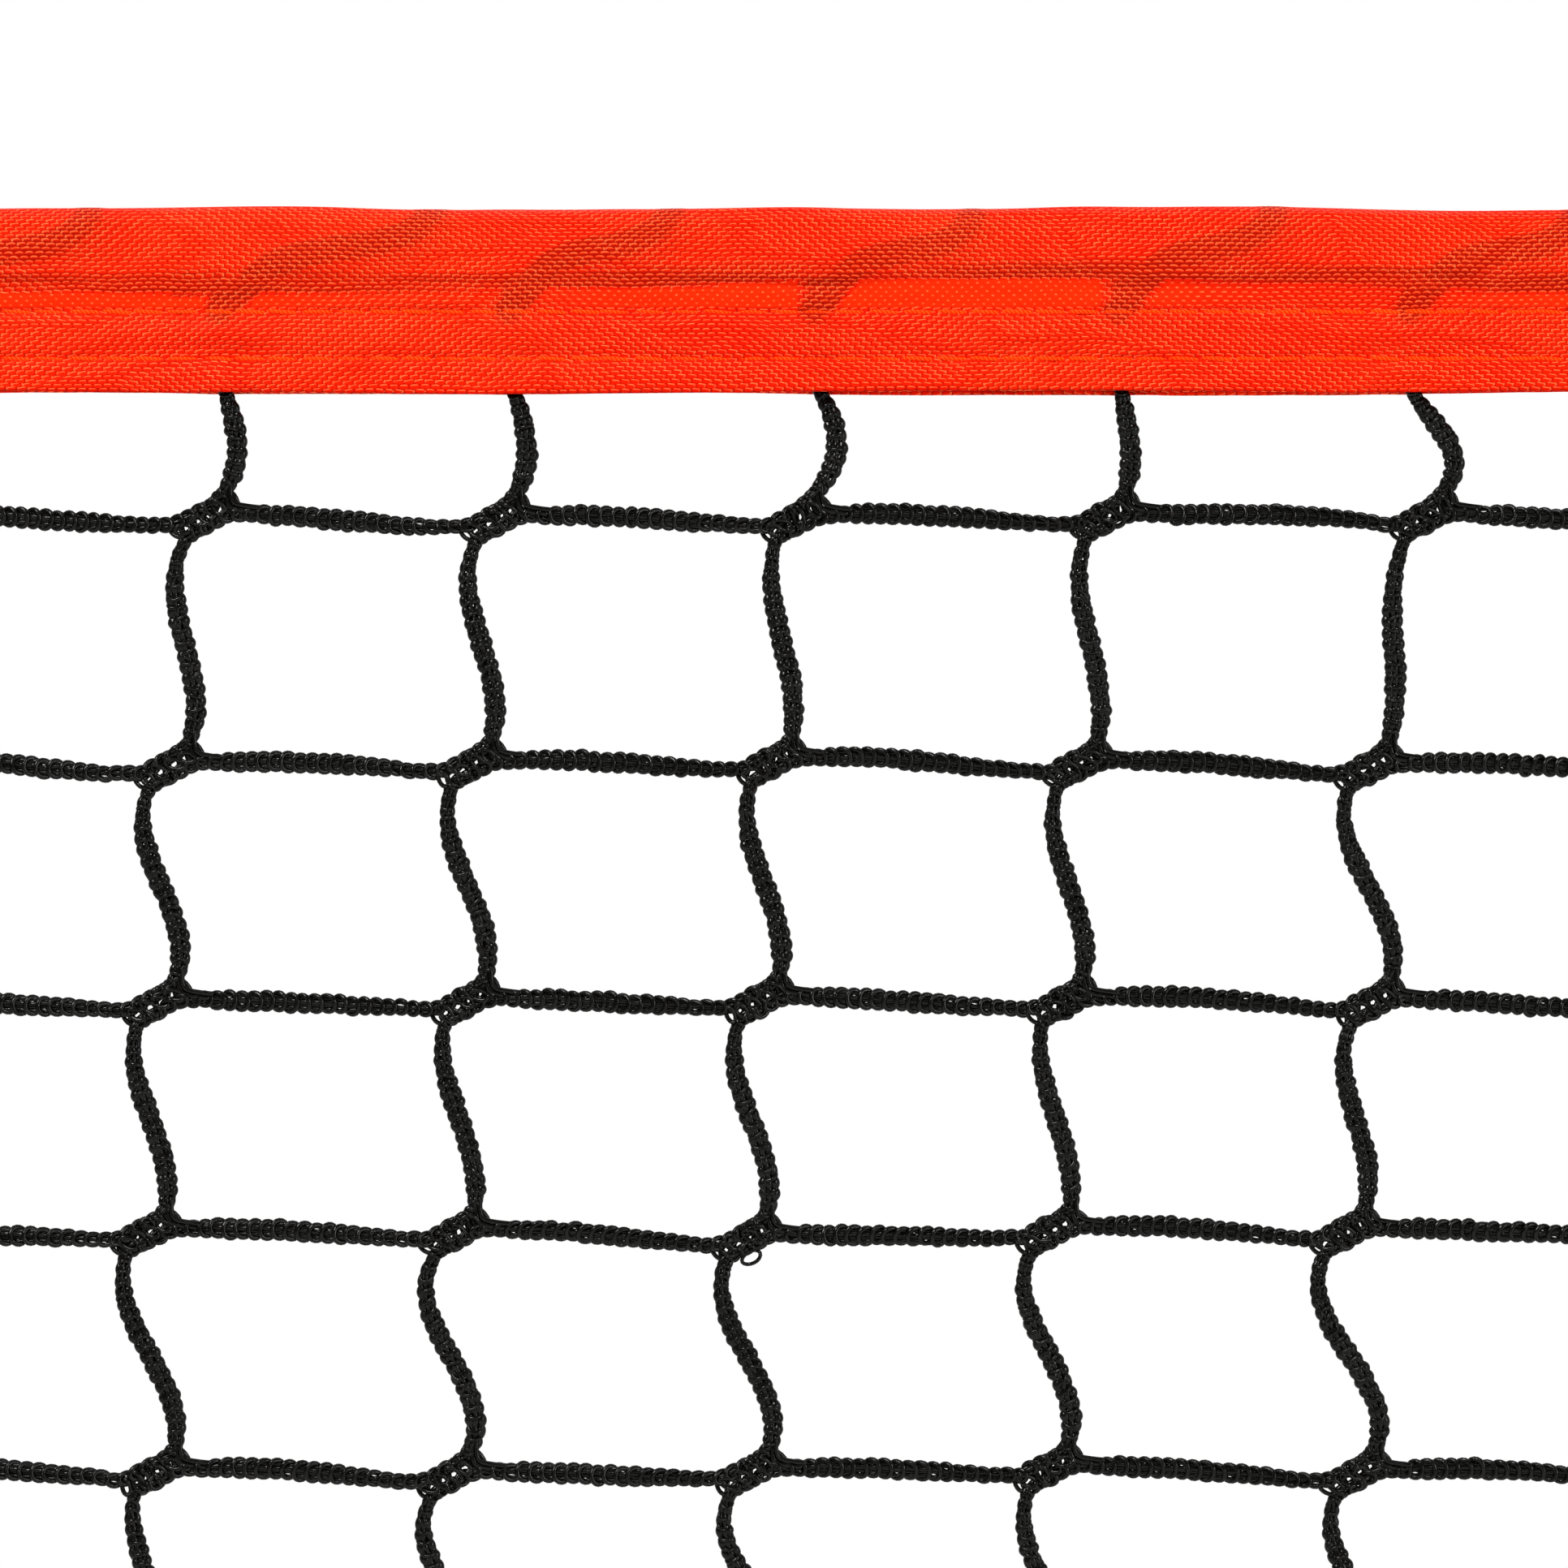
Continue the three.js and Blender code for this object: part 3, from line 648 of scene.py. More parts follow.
def tape_material():
    """Oxford-woven polyester: rows of oval floats in a brick pattern with painted highlights (glints) between them,
    and painted shade in the grooves. The third number of the cloth attribute is how strongly painted shade of the
    black cords inside shows, or below zero where the weave is pulled open."""
    look, n = new_material("orange_tape", 0.5, specular=0.16, tint=(1.0, 0.3, 0.1))
    along, across, under = n.split(n.attribute("cloth"))
    cloth = n.join(along, across)
    presence = n.step(under, 0.0, 0.9)
    opened = n.step(n.math("MULTIPLY", under, -1.0), 0.1, 0.7)
    sway = n.math("MULTIPLY", n.math("SUBTRACT", n.noise(cloth, 110, 1.0), 0.5), 1.3)
    row = n.math("ADD", n.math("MULTIPLY", across, 1 / YARN_ACROSS), sway)
    row_place = n.math("SUBTRACT", n.math("FRACT", row), 0.5)
    odd = n.math("FRACT", n.math("MULTIPLY", n.math("FLOOR", row), 0.5))
    stray = n.math("MULTIPLY", n.math("SUBTRACT", n.noise(cloth, 140, 1.0, (1, 3, 1)), 0.5), 0.8)
    column = n.math("ADD", n.math("ADD", n.math("MULTIPLY", along, 1 / YARN_ALONG), odd), stray)
    column_place = n.math("SUBTRACT", n.math("FRACT", column), 0.5)
    aside = n.math("ABSOLUTE", column_place)
    reach = n.math("POWER", n.math("MULTIPLY", aside, 2.0), 2.4)
    rise = n.math("POWER", n.math("MULTIPLY", n.math("ABSOLUTE", row_place), 1 / 0.56), 2.0)
    height = n.math("SQRT", n.math("MAXIMUM", n.math("SUBTRACT", 1.0, n.math("ADD", reach, rise)), 0.0))
    # the painted highlight: a glint dash along the top of a float, bent and tilted differently from place to place
    bend = n.math("MULTIPLY", n.math("SUBTRACT", n.noise(cloth, 90, 1.0), 0.42), 5.0)
    bend = n.math("ADD", bend, n.math("MULTIPLY", presence, 1.7))
    side = n.step(n.noise(cloth, 24, 1.0, (1, 2.6, 1)), 0.45, 0.55)  # which way the glints lean
    swept = n.math("MULTIPLY", column_place, n.math("SUBTRACT", n.math("MULTIPLY", side, 2.0), 1.0))
    tilt = n.math("MULTIPLY", n.math("SUBTRACT", n.noise(cloth, 55, 1.0, (1, 1.7, 3)), 0.22), 1.8)
    crest = n.math("SUBTRACT", 0.34, n.math("MULTIPLY", bend, n.math("POWER", column_place, 2.0)))
    crest = n.math("ADD", crest, n.math("MULTIPLY", tilt, swept))
    offset = n.math("ABSOLUTE", n.math("SUBTRACT", row_place, crest))
    dash_end = n.math("SUBTRACT", 0.33, n.math("MULTIPLY", opened, 0.24))
    end_gap = n.math("SUBTRACT", aside, dash_end)
    dash = n.math("SUBTRACT", 1.0, n.step(end_gap, -0.08, 0.08))
    thick = n.math("ADD", 0.18, n.math("MULTIPLY", opened, 0.14))
    dash = n.math("MULTIPLY", dash, n.math("SUBTRACT", 1.0, n.step(n.math("DIVIDE", offset, thick), 0.2, 1.0)))
    drop_side = n.math("ABSOLUTE", n.math("ADD", swept, 0.36))
    drop_reach = n.math("ABSOLUTE", n.math("SUBTRACT", row_place, 0.05))
    drop = n.math("SUBTRACT", 1.0, n.step(drop_side, 0.02, 0.13))
    drop = n.math("MULTIPLY", drop, n.math("SUBTRACT", 1.0, n.step(drop_reach, 0.22, 0.44)))
    patches = n.noise(cloth, 70, 2.0, (1, 2.5, 1))
    drop = n.math("MULTIPLY", drop, n.math("MULTIPLY", n.step(patches, 0.32, 0.54), n.math("SUBTRACT", 0.8, opened)))
    cell = n.noise(cloth, 900, 0.0)
    fading = n.math("ADD", 0.5, n.math("MULTIPLY", n.step(cell, 0.3, 0.65), 0.5))
    painted_highlight = n.math("MULTIPLY", n.math("MAXIMUM", dash, drop), fading)
    painted_highlight = n.math("MULTIPLY", painted_highlight, n.math("SUBTRACT", 1.0, n.math("MULTIPLY", opened, 0.1)))
    # floats of a slightly varying red, with painted shade darkening the grooves between them
    lit = n.mix(n.step(n.noise(cloth, 25, 2.0), 0.3, 0.7), (0.80, 0.005, 0.0003), (0.85, 0.011, 0.0004))
    red = n.mix(n.step(height, 0.0, 0.9), (0.48, 0.0022, 0.0003), lit)
    red = n.mix(opened, red, (0.88, 0.018, 0.0008))
    # painted shade over the cords inside the tape: each float painted lit on its upper half and shaded on its lower
    # half
    crown = n.math("MULTIPLY", n.step(row_place, -0.35, 0.35), n.step(height, 0.1, 0.7))
    dark = n.mix(crown, (0.33, 0.0022, 0.0004), (0.74, 0.018, 0.0010))
    body = n.mix(presence, red, dark)
    # the glints are painted highlights, mixed into the base colour
    n.colour(n.mix(n.math("MULTIPLY", painted_highlight, 0.9), body, (1.0, 0.170, 0.050)))
    n.roughness(n.math("SUBTRACT", 0.6, n.math("MULTIPLY", painted_highlight, 0.15)))
    n.bump(height, 0.35, 0.00010)
    return look


TWIST_PITCH = 0.64 * MM  # of the sewing thread's plies


def thread_material():
    look, n = new_material("orange_thread", 0.5, specular=0.16, tint=(1.0, 0.3, 0.1))
    place = n.place()
    fibre = n.noise(place, 2200, 2.0)
    x, _, z = n.split(place)
    slanted = n.math("MULTIPLY", n.math("ADD", x, n.math("MULTIPLY", z, 0.8)), 2 * math.pi / TWIST_PITCH)
    twist = n.step(n.math("ADD", n.math("SINE", slanted), fibre), 0.2, 1.5)
    n.colour(n.mix(twist, (0.88, 0.026, 0.0006), (0.97, 0.082, 0.007)))
    n.bump(n.math("ADD", twist, fibre), 0.4, 0.00008)
    return look


def cord_material():
    """Black polyethylene filaments: fine streaks, a slight unevenness of colour and shine."""
    look, n = new_material("black_netting", 0.3, specular=0.18)
    place = n.place()
    streaks = n.noise(place, 2600, 3.0)
    lumps = n.noise(place, 900, 2.0)
    n.colour(n.mix(n.noise(place, 160, 1.0), (0.0010, 0.0010, 0.0008), (0.0030, 0.0028, 0.0020)))
    n.roughness(n.math("ADD", 0.15, n.math("MULTIPLY", n.step(lumps, 0.35, 0.65), 0.2)))
    n.bump(n.math("ADD", n.math("MULTIPLY", streaks, 0.35), lumps), 0.8, 0.00013)
    return look


def rope_material():
    look, n = new_material("white_rope", 0.75, specular=0.3)
    place = n.place()
    fibres = n.noise(place, 1500, 3.0)
    soil = n.noise(place, 40, 3.0)
    n.colour(n.mix(n.step(soil, 0.45, 0.8), n.mix(fibres, (0.56, 0.54, 0.49), (0.74, 0.72, 0.67)), (0.42, 0.38, 0.31)))
    n.bump(fibres, 0.6, 0.00015)
    return look


def nickel_material():
    look, n = new_material("nickel", 0.28, metallic=1.0)
    place = n.place()
    scuffs = n.noise(place, 700, 4.0, (1, 1, 6))
    stain = n.noise(place, 90, 3.0)
    n.colour(n.mix(n.step(stain, 0.5, 0.85), (0.62, 0.61, 0.59), (0.40, 0.37, 0.33)))
    n.roughness(n.math("ADD", 0.18, n.math("MULTIPLY", scuffs, 0.25)))
    n.bump(scuffs, 0.15, 0.00004)
    return look


def wood_material():
    """Oiled beech: long fine grain with short dark flecks."""
    look, n = new_material("beech_dowel", 0.5, specular=0.35)
    place = n.place()
    grain = n.noise(place, 420, 4.0, (1, 1, 0.04))
    flecks = n.noise(place, 1500, 2.0, (1, 1, 0.10))
    wood = n.mix(n.step(grain, 0.3, 0.7), (0.40, 0.235, 0.105), (0.60, 0.41, 0.225))
    n.colour(n.mix(n.step(flecks, 0.62, 0.75), wood, (0.20, 0.10, 0.04)))
    n.roughness(n.math("ADD", 0.42, n.math("MULTIPLY", grain, 0.2)))
    n.bump(flecks, 0.3, 0.00008)
    return look


def plastic_material():
    look, n = new_material("black_plastic", 0.45, specular=0.45)
    place = n.place()
    grain = n.noise(place, 2500, 3.0)
    wear = n.step(n.noise(place, 120, 3.0), 0.55, 0.75)
    n.colour(n.mix(wear, (0.012, 0.012, 0.013), (0.026, 0.025, 0.024)))
    n.roughness(n.math("ADD", 0.38, n.math("MULTIPLY", wear, 0.18)))
    n.bump(grain, 0.35, 0.00006)
    return look


ORANGE_TAPE = tape_material()
ORANGE_THREAD = thread_material()
BLACK_CORD = cord_material()
WHITE_ROPE = rope_material()
NICKEL = nickel_material()
WOOD = wood_material()
PLASTIC = plastic_material()


# ---------------------------------------------------------------- netting pieces

FINE_BARS = range(VIEW_COLUMN - 3, VIEW_COLUMN + 3)
FINE_ROWS = range(1, 6)
FINE_COLUMNS = range(VIEW_COLUMN - 2, VIEW_COLUMN + 3)
FINE_UPRIGHT_ROWS = range(0, 6)


def make_level_cord(row):
    builder = Builder()
    for column in range(COLUMNS - 1):
        seed = 30000 + 100 * row + column
        if row in FINE_ROWS and column in FINE_BARS:
            knit(builder, *level_bar(row, column), True, seed)
        else:
            plain_bar(builder, *level_bar(row, column), True, seed)
    for column in range(COLUMNS):
        fine = row in FINE_ROWS and column in FINE_COLUMNS
        tie(builder, JOINTS[row, column], 2000 + 100 * row + column, fine)
    return builder


def add_upright_cord(builder, column):
    for row in range(len(ROW_LEVELS) - 1):
        seed = 60000 + 100 * row + column
        if column in (0, COLUMNS - 1):
            down = (JOINTS[row + 1, column] - JOINTS[row, column]) * [1, 0, 1]
            plain_bar(builder, hermite(JOINTS[row, column], down, JOINTS[row + 1, column], down, 20), np.zeros(20), False, seed)
            continue
        if row in FINE_UPRIGHT_ROWS and column in FINE_COLUMNS:
            knit(builder, *upright_bar(row, column), False, seed)
        else:
            plain_bar(builder, *upright_bar(row, column), False, seed)


def add_edge_cord(builder, row, columns):
    """The level cord held inside a tape."""
    for column in columns:
        if column + 1 < COLUMNS:
            route = hermite(JOINTS[row, column], np.array([45, 0, 0]) * MM, JOINTS[row, column + 1], np.array([45, 0, 0]) * MM, 20)
            plain_bar(builder, route, np.full(20, 0.5), True, 90000 + 100 * row + column)


def make_netting():
    for row in range(1, len(ROW_LEVELS) - 1):
        piece = make_level_cord(row).make(f"net_level_cord_{row:02d}", BLACK_CORD)
        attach(piece, "net_panel")
        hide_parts(ROW_NODES[row - 1])
    bounds = [0, 15, FINE_COLUMNS[0], FINE_COLUMNS[2], FINE_COLUMNS[-1] + 1, 51, COLUMNS]
    for number, (low_column, high_column) in enumerate(zip(bounds, bounds[1:]), 1):
        builder = Builder()
        for column in range(low_column, high_column):
            add_upright_cord(builder, column)
        for row in (0, len(ROW_LEVELS) - 1):
            add_edge_cord(builder, row, range(low_column, high_column))
        piece = builder.make(f"net_upright_cords_{number}", BLACK_CORD)
        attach(piece, "net_panel")
        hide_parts("netting_uprights")


# ---------------------------------------------------------------- cloth helpers

CLOTH = 0.6 * MM
RNG_WAVES = np.random.default_rng(77)


def soft_noise(seed, x, y, size, octaves=2):
    """A smooth wandering height of about -1 to 1, from a few crossing waves of the given size in metres."""
    rng = np.random.default_rng(seed)
    total = np.zeros(np.broadcast(x, y).shape)
    for octave in range(octaves):
        for _ in range(4):
            angle, phase = rng.uniform(0, 2 * math.pi, 2)
            wave = 2 * math.pi / (size * rng.uniform(0.7, 1.5) / 2**octave)
            total = total + 0.35 * 0.55**octave * np.sin((x * math.cos(angle) + y * math.sin(angle)) * wave + phase)
    return total


def bell(distance, half_width):
    return np.exp(-((distance / half_width) ** 2))


def section_normals(section):
    """Outward normals of an open outline of (a, b) points that runs clockwise round its cloth's inside."""
    way = np.gradient(section, axis=0)
    normal = np.stack([-way[:, 1], way[:, 0]], -1)
    return normal / np.maximum(np.linalg.norm(normal, axis=1, keepdims=True), 1e-12)


def arc_lengths(section):
    steps = np.linalg.norm(np.diff(section, axis=0), axis=1)
    return np.concatenate([[0], np.cumsum(steps)])


def stitch_row(builder, points, faces, pitch, seed, fine, thickness=0.33 * MM):
    """A row of lockstitches along a line of points: each one a short twisted thread that dips in at both ends.
    faces are the outward directions at the points; fine says which stretch gets full detail."""
    rng = np.random.default_rng(seed)
    lengths = arc_lengths(points)
    starts = np.arange(pitch * 0.3, lengths[-1] - pitch, pitch)
    starts = starts + rng.normal(0, 0.04 * pitch, len(starts))
    for start in starts:
        middle = start + pitch / 2
        place = np.array([np.interp(middle, lengths, points[:, i]) for i in range(3)])
        detailed = fine(place)
        stations = np.linspace(0, 1, 12 if detailed else 5)
        along = start + pitch * (0.02 + 0.97 * stations)
        line = np.stack([np.interp(along, lengths, points[:, i]) for i in range(3)], -1)
        out = unit(np.stack([np.interp(along, lengths, faces[:, i]) for i in range(3)], -1))
        tangent = tangents(line)
        sideways = np.cross(tangent, out)
        rise = np.sin(math.pi * stations) ** 0.4
        skew = (stations - 0.5) * rng.normal(0.25, 0.12) * MM
        line = line + out * ((rise * 0.30 - 0.20) * MM)[:, None] + sideways * skew[:, None]
        fullness = thickness * (0.62 + 0.38 * rise) * rng.normal(1, 0.06)
        if detailed:
            fullness = fullness * (1 + 0.10 * np.cos(stations * 2 * math.pi * 3.5))
        builder.tube(line, sideways, out, fullness, 8 if detailed else 4, flat=0.6)


def near_view(place):
    return abs(place[0] - VIEW_CENTRE.x) < 130 * MM and place[1] < 0


def never(place):
    return False


def finish_piece(piece, body, slot, *nodes):
    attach(piece, body)
    if nodes:
        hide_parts(*nodes)
    return piece


# ---------------------------------------------------------------- headband

BAND_BOTTOM = BAND_LOW.z
FOLD_RADIUS = BAND_HIGH.y
SEAM_LEVELS = [(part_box(f"headband_seam_{word}")[0].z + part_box(f"headband_seam_{word}")[1].z) / 2 for word in ("upper", "lower")]
STITCH_PITCH = 5.0 * MM
TUNNEL_FLOOR = -7.4 * MM
# half thickness of the band at each height, in millimetres: full over the rope, pressed flat below it
BAND_SHAPE = np.array([
    [-25.5, 1.95], [-22.5, 2.1], [-20.8, 2.0], [-19.9, 1.62], [-19.0, 2.0], [-16.5, 2.3], [-14.0, 2.05], [-12.9, 1.62],
    [-11.9, 2.0], [-9.5, 2.25], [-8.3, 2.4], [-7.2, 2.95], [-5.5, 3.18], [-3.0, 3.25], [0.0, 3.1],
])
CUT_END = np.array([[0, -12.8], [2.7, -9.8], [7, -5.9], [12, -4.2], [19, -2.8], [23.5, -0.8], [26, 2.4]]) * MM


def band_heights():
    """Levels down one ply, closer together where the cloth bends."""
    return MM * np.concatenate([
        np.linspace(BAND_BOTTOM / MM, -20.8, 6), [-20.3, -19.9, -19.5], np.linspace(-19, -13.8, 7), [-13.3, -12.9, -12.5],
        np.linspace(-12, -9, 5), np.linspace(-8.4, -5.8, 6), np.linspace(-5, -1, 5),
    ])


def band_section():
    """The (y, z) outline of the folded tape, from the front ply's edge over the rope to the back ply's edge."""
    heights = band_heights()
    half = np.interp(heights / MM, BAND_SHAPE[:, 0], BAND_SHAPE[:, 1]) * MM
    turn = np.linspace(math.pi, 0, 15)
    fold = np.stack([np.cos(turn) * FOLD_RADIUS, np.sin(turn) * FOLD_RADIUS], -1)
    back_heights = heights[::-1]
    front = np.stack([-half, heights], -1)
    back = np.stack([half[::-1], back_heights], -1)
    return np.vstack([front, fold, back])


def band_stations():
    """Places along the band: evenly close in the camera's view, and elsewhere close round each upright cord."""
    reach = 126 * MM
    low, high = VIEW_CENTRE.x - reach, VIEW_CENTRE.x + reach
    fine = np.arange(low, high, 1.3 * MM)
    around = np.array([-17, -9, -5, -2.5, 0, 2.5, 5, 9]) * MM
    rough = (JOINTS[0, :, 0][:, None] + around).ravel()
    rough = rough[(rough < low - 2 * MM) | (rough > high + 2 * MM)]
    ends = np.linspace(0, 20, 6)[:-1] * MM
    rough = rough[np.abs(rough) < BAND_HIGH.x - 21 * MM]
    return np.sort(np.concatenate([fine, rough, BAND_HIGH.x - ends, ends - BAND_HIGH.x]))


def cord_presence(x, z):
    """How strongly the cords inside the band show at each place as painted shade: the uprights, the top level cord and
    the cut ends.
    """
    wander = soft_noise(5, x, 0 * z, 230 * MM) * 1.1 * MM + soft_noise(6, x, 0 * z, 60 * MM) * 0.3 * MM
    depth = (z + 7.9 * MM + wander) / (1.9 * MM)
    presence = (0.74 + 0.2 * soft_noise(8, x, 0 * z, 80 * MM)) * smooth((1 - np.abs(depth)) / 0.37)
    presence = presence * (0.85 - 0.30 * np.clip(depth, -1, 1))
    rng = np.random.default_rng(31)
    for upright in JOINTS[0, :, 0]:
        near = np.abs(x[:, 0] - upright - 12 * MM) < 24 * MM
        shake = np.array([1.0, 0.5]) * rng.normal(0, 0.9, (1, 2)) * np.linspace(0, 1, len(CUT_END))[:, None] * MM
        stretch = rng.uniform(0.9, 1.3)
        if not near.any():
            continue
        lx, lz = x[near], z[near]
        stem = bell(lx - upright - 0.3 * MM, 1.75 * MM) * smooth((-6.5 * MM - lz) / (2 * MM))
        stem = stem * (0.14 + 0.80 * smooth((lz + 15.2 * MM) / (1.2 * MM)))
        nodes = CUT_END * [stretch, 1] + shake
        route = hermite_chain(np.stack([nodes[:, 0] + upright, nodes[:, 0] * 0, nodes[:, 1]], -1), 5)
        gaps = np.stack([np.hypot(lx - px, lz - pz) for px, _, pz in route])
        gap = gaps.min(0)
        end = 0.95 * smooth((2.75 * MM - gap) / (1.3 * MM))
        inside = smooth((route[gaps.argmin(0), 2] - lz) / (1 * MM)) * smooth((lz + 9 * MM) / (2 * MM))
        end = np.maximum(end, 0.42 * smooth((8 * MM - gap) / (5 * MM)) * inside)  # painted shade of the cloth tented over the cords' crotch
        presence[near] = np.maximum(presence[near], np.maximum(stem, end))
    opened = smooth((z + 12.6 * MM) / (0.8 * MM)) * smooth((-8.6 * MM - wander - z) / (1.2 * MM))
    opened = opened * smooth(0.75 + 0.5 * soft_noise(9, x, 0 * z, 150 * MM))
    return np.where(presence > 0.15, presence, presence - opened)


def make_headband():
    section = band_section()
    normal = section_normals(section)
    across = arc_lengths(section)
    x = band_stations()[:, None] * np.ones((1, len(section)))
    z = section[None, :, 1] + 0 * x
    ply = np.sign(section[:, 0])[None, :] * np.clip(np.abs(section[:, 0])[None, :] / FOLD_RADIUS, 0, 1)
    # presence is the painted shade of the cords inside the band; it also lifts the cloth over them
    presence = cord_presence(x, z)
    seams = sum(bell(z - level, 0.9 * MM) for level in SEAM_LEVELS)
    below = smooth((-8 * MM - z) / (3 * MM))
    uprights = np.zeros_like(x)
    for upright in JOINTS[0, :, 0]:
        uprights += bell(x - upright - 0.3 * MM, 2.3 * MM)
    needle = np.abs(np.sin(math.pi * x / STITCH_PITCH))
    proud = 0.30 * soft_noise(21, x, z + ply * 0.4, 34 * MM) * (1 - 0.7 * seams)
    proud = proud + 0.42 * uprights * below * (1 - 0.5 * seams) + 0.28 * presence * (1 - below)
    proud = proud + 0.16 * soft_noise(22, x * 2.2, z * 0.35 + ply * 0.5, 20 * MM) * below * (1 - 0.6 * seams)
    proud = proud - 0.16 * seams * needle
    proud = np.clip(proud, -0.45, 0.75) * MM * (1 - 0.7 * smooth(z / (3 * MM)))
    top = smooth((z + 2.5 * MM) / (5 * MM))
    bottom = smooth((BAND_BOTTOM + 6 * MM - z) / (6 * MM))
    lift = (0.35 * soft_noise(23, x, 0 * x, 75 * MM) - 0.40) * top + 0.28 * soft_noise(24, x, ply * 0.5, 90 * MM) * bottom
    out = np.stack([0 * x, normal[None, :, 0] + 0 * x, normal[None, :, 1] + 0 * x], -1)
    centre = np.stack([x, section[None, :, 0] + 0 * x, z + lift * MM], -1)
    outer = centre + out * proud[..., None]
    inner = outer - out * CLOTH
    cloth = np.stack([x, across[None, :] + 0 * x, presence], -1)
    builder = Builder()
    builder.sheet(outer, inner, cloth)
    band = finish_piece(builder.make("headband_tape", ORANGE_TAPE), "net_panel", "tape", "headband")
    for word, level in zip(("upper", "lower"), SEAM_LEVELS):
        builder = Builder()
        for side in (0, 1):
            columns = range(0, len(section) // 2) if side == 0 else range(len(section) // 2, len(section))
            column = min(columns, key=lambda j: abs(section[j, 1] - level))
            builder_line = outer[:, column]
            stitch_row(builder, builder_line, out[:, column], STITCH_PITCH, 40 + side, near_view)
        thread = builder.make(f"headband_stitches_{word}", ORANGE_THREAD)
        finish_piece(thread, "net_panel", "thread", f"headband_seam_{word}")


# ---------------------------------------------------------------- side and bottom tapes


def folded_section(width, half, extra=(), turn_steps=9):
    """A tape folded flat round an edge: (distance in from the fold, thickness direction), front edge to back edge."""
    seams = [width - drop + step * MM for drop in EDGE_SEAMS for step in (-1.4, -0.6, 0, 0.6, 1.4)]
    inset = np.concatenate([np.linspace(width, 19 * MM, 10), seams, extra, np.linspace(6 * MM, half, 3)])
    inset = np.sort(inset)[::-1]
    inset = inset[np.concatenate([[True], -np.diff(inset) > 0.3 * MM])]
    puff = half * (0.72 + 0.28 * bell(inset - half, 9 * MM)) - 0.25 * MM * sum(
        bell(inset - width + drop, 0.9 * MM) for drop in EDGE_SEAMS
    )
    turn = np.linspace(-math.pi / 2, math.pi / 2, turn_steps)[1:-1]
    fold = np.stack([half - np.cos(turn) * half, np.sin(turn) * half], -1)
    front = np.stack([inset, -puff], -1)
    return np.vstack([front, fold, np.stack([inset, puff], -1)[::-1]])


EDGE_SEAMS = (4.5 * MM, 11.5 * MM)  # seam lines in from a tape's open edges
HALF_TAPE = BAND_HIGH.y
TUCK = 2.5 * MM  # how far the end of a tape reaches in between the plies of the next one


def pressed(past):
    """A tape's thickness near its end, where it is pressed flat to go in. past is measured from where it goes in."""
    return 1 - 0.42 * smooth((past + 2.4 * MM) / (2.2 * MM))


def tape_surface(section, stations, place, seed):
    """Outer and inner faces of a folded tape. place turns (inset, depth, station) arrays into points."""
    normal = section_normals(section)
    run = np.array(stations)[:, None] + 0 * section[None, :, 0]
    side = np.sign(section[:, 1])[None, :]
    proud = 0.35 * soft_noise(seed, run, section[None, :, 0] + side * 0.5, 45 * MM)
    proud = proud + 0.18 * soft_noise(seed + 1, run * 2, section[None, :, 0] * 0.5 + side * 0.3, 22 * MM)
    flat = section[None, :, :] + normal[None, :, :] * (np.clip(proud, -0.3, 0.5) * MM)[..., None]
    inside = flat - normal[None, :, :] * CLOTH
    across = arc_lengths(section)[None, :] + 0 * run
    outer = place(flat[..., 0], flat[..., 1], run)
    inner = place(inside[..., 0], inside[..., 1], run)
    out = unit(outer - inner)
    return outer, inner, out, np.stack([run, across, 0 * run], -1)


def edge_stitches(name, section, outer, out, width, seed):
    """Two seams along a folded tape, on both of its faces."""
    builder = Builder()
    middle = len(section) // 2
    for drop in EDGE_SEAMS:
        for columns in (range(0, middle), range(middle, len(section))):
            column = min(columns, key=lambda j: abs(section[j, 0] - (width - drop)))
            stitch_row(builder, outer[:, column], out[:, column], STITCH_PITCH, seed, never)
            seed += 1
    return finish_piece(builder.make(name, ORANGE_THREAD), "net_panel", "thread")


def make_side_tape(name, side):
    low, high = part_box(f"{name}_side_tape")
    width = high.x - low.x
    edge = side * max(abs(low.x), abs(high.x))
    heights = [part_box(f"{name}_eyelet_{i}") for i in range(1, 5)]
    centres = [((a.x + b.x) / 2, (a.z + b.z) / 2) for a, b in heights]
    around = np.arange(-7, 8) * MM
    section = folded_section(width, HALF_TAPE, abs(edge - centres[0][0]) + around)
    coarse = np.arange(low.z, high.z - 5 * MM, 4.0 * MM)
    coarse = coarse[[min(abs(z - level) for _, level in centres) > 8.5 * MM for z in coarse]]
    tuck = high.z + np.array([-3.5, -2.4, -1.6, -0.9, -0.2, TUCK / MM]) * MM
    stations = np.sort(np.concatenate([coarse, tuck, *[level + around for _, level in centres]]))

    def place(inset, depth, run):
        return np.stack([edge - side * inset, depth * pressed(run - high.z), run], -1)

    outer, inner, out, cloth = tape_surface(section, stations, place, 300 + side)
    clear = np.ones(outer.shape[:2], bool)
    for x, z in centres:
        clear &= np.hypot(outer[..., 0] - x, outer[..., 2] - z) > 4.7 * MM
    keep = clear[:-1, :-1] & clear[1:, :-1] & clear[:-1, 1:] & clear[1:, 1:]
    builder = Builder()
    builder.sheet(outer, inner, cloth, keep)
    tape = builder.make(f"{name}_side_binding", ORANGE_TAPE)
    finish_piece(tape, "net_panel", "tape", f"{name}_side_tape")
    threads = edge_stitches(f"{name}_side_stitches", section, outer, out, width, 400 + 10 * side)


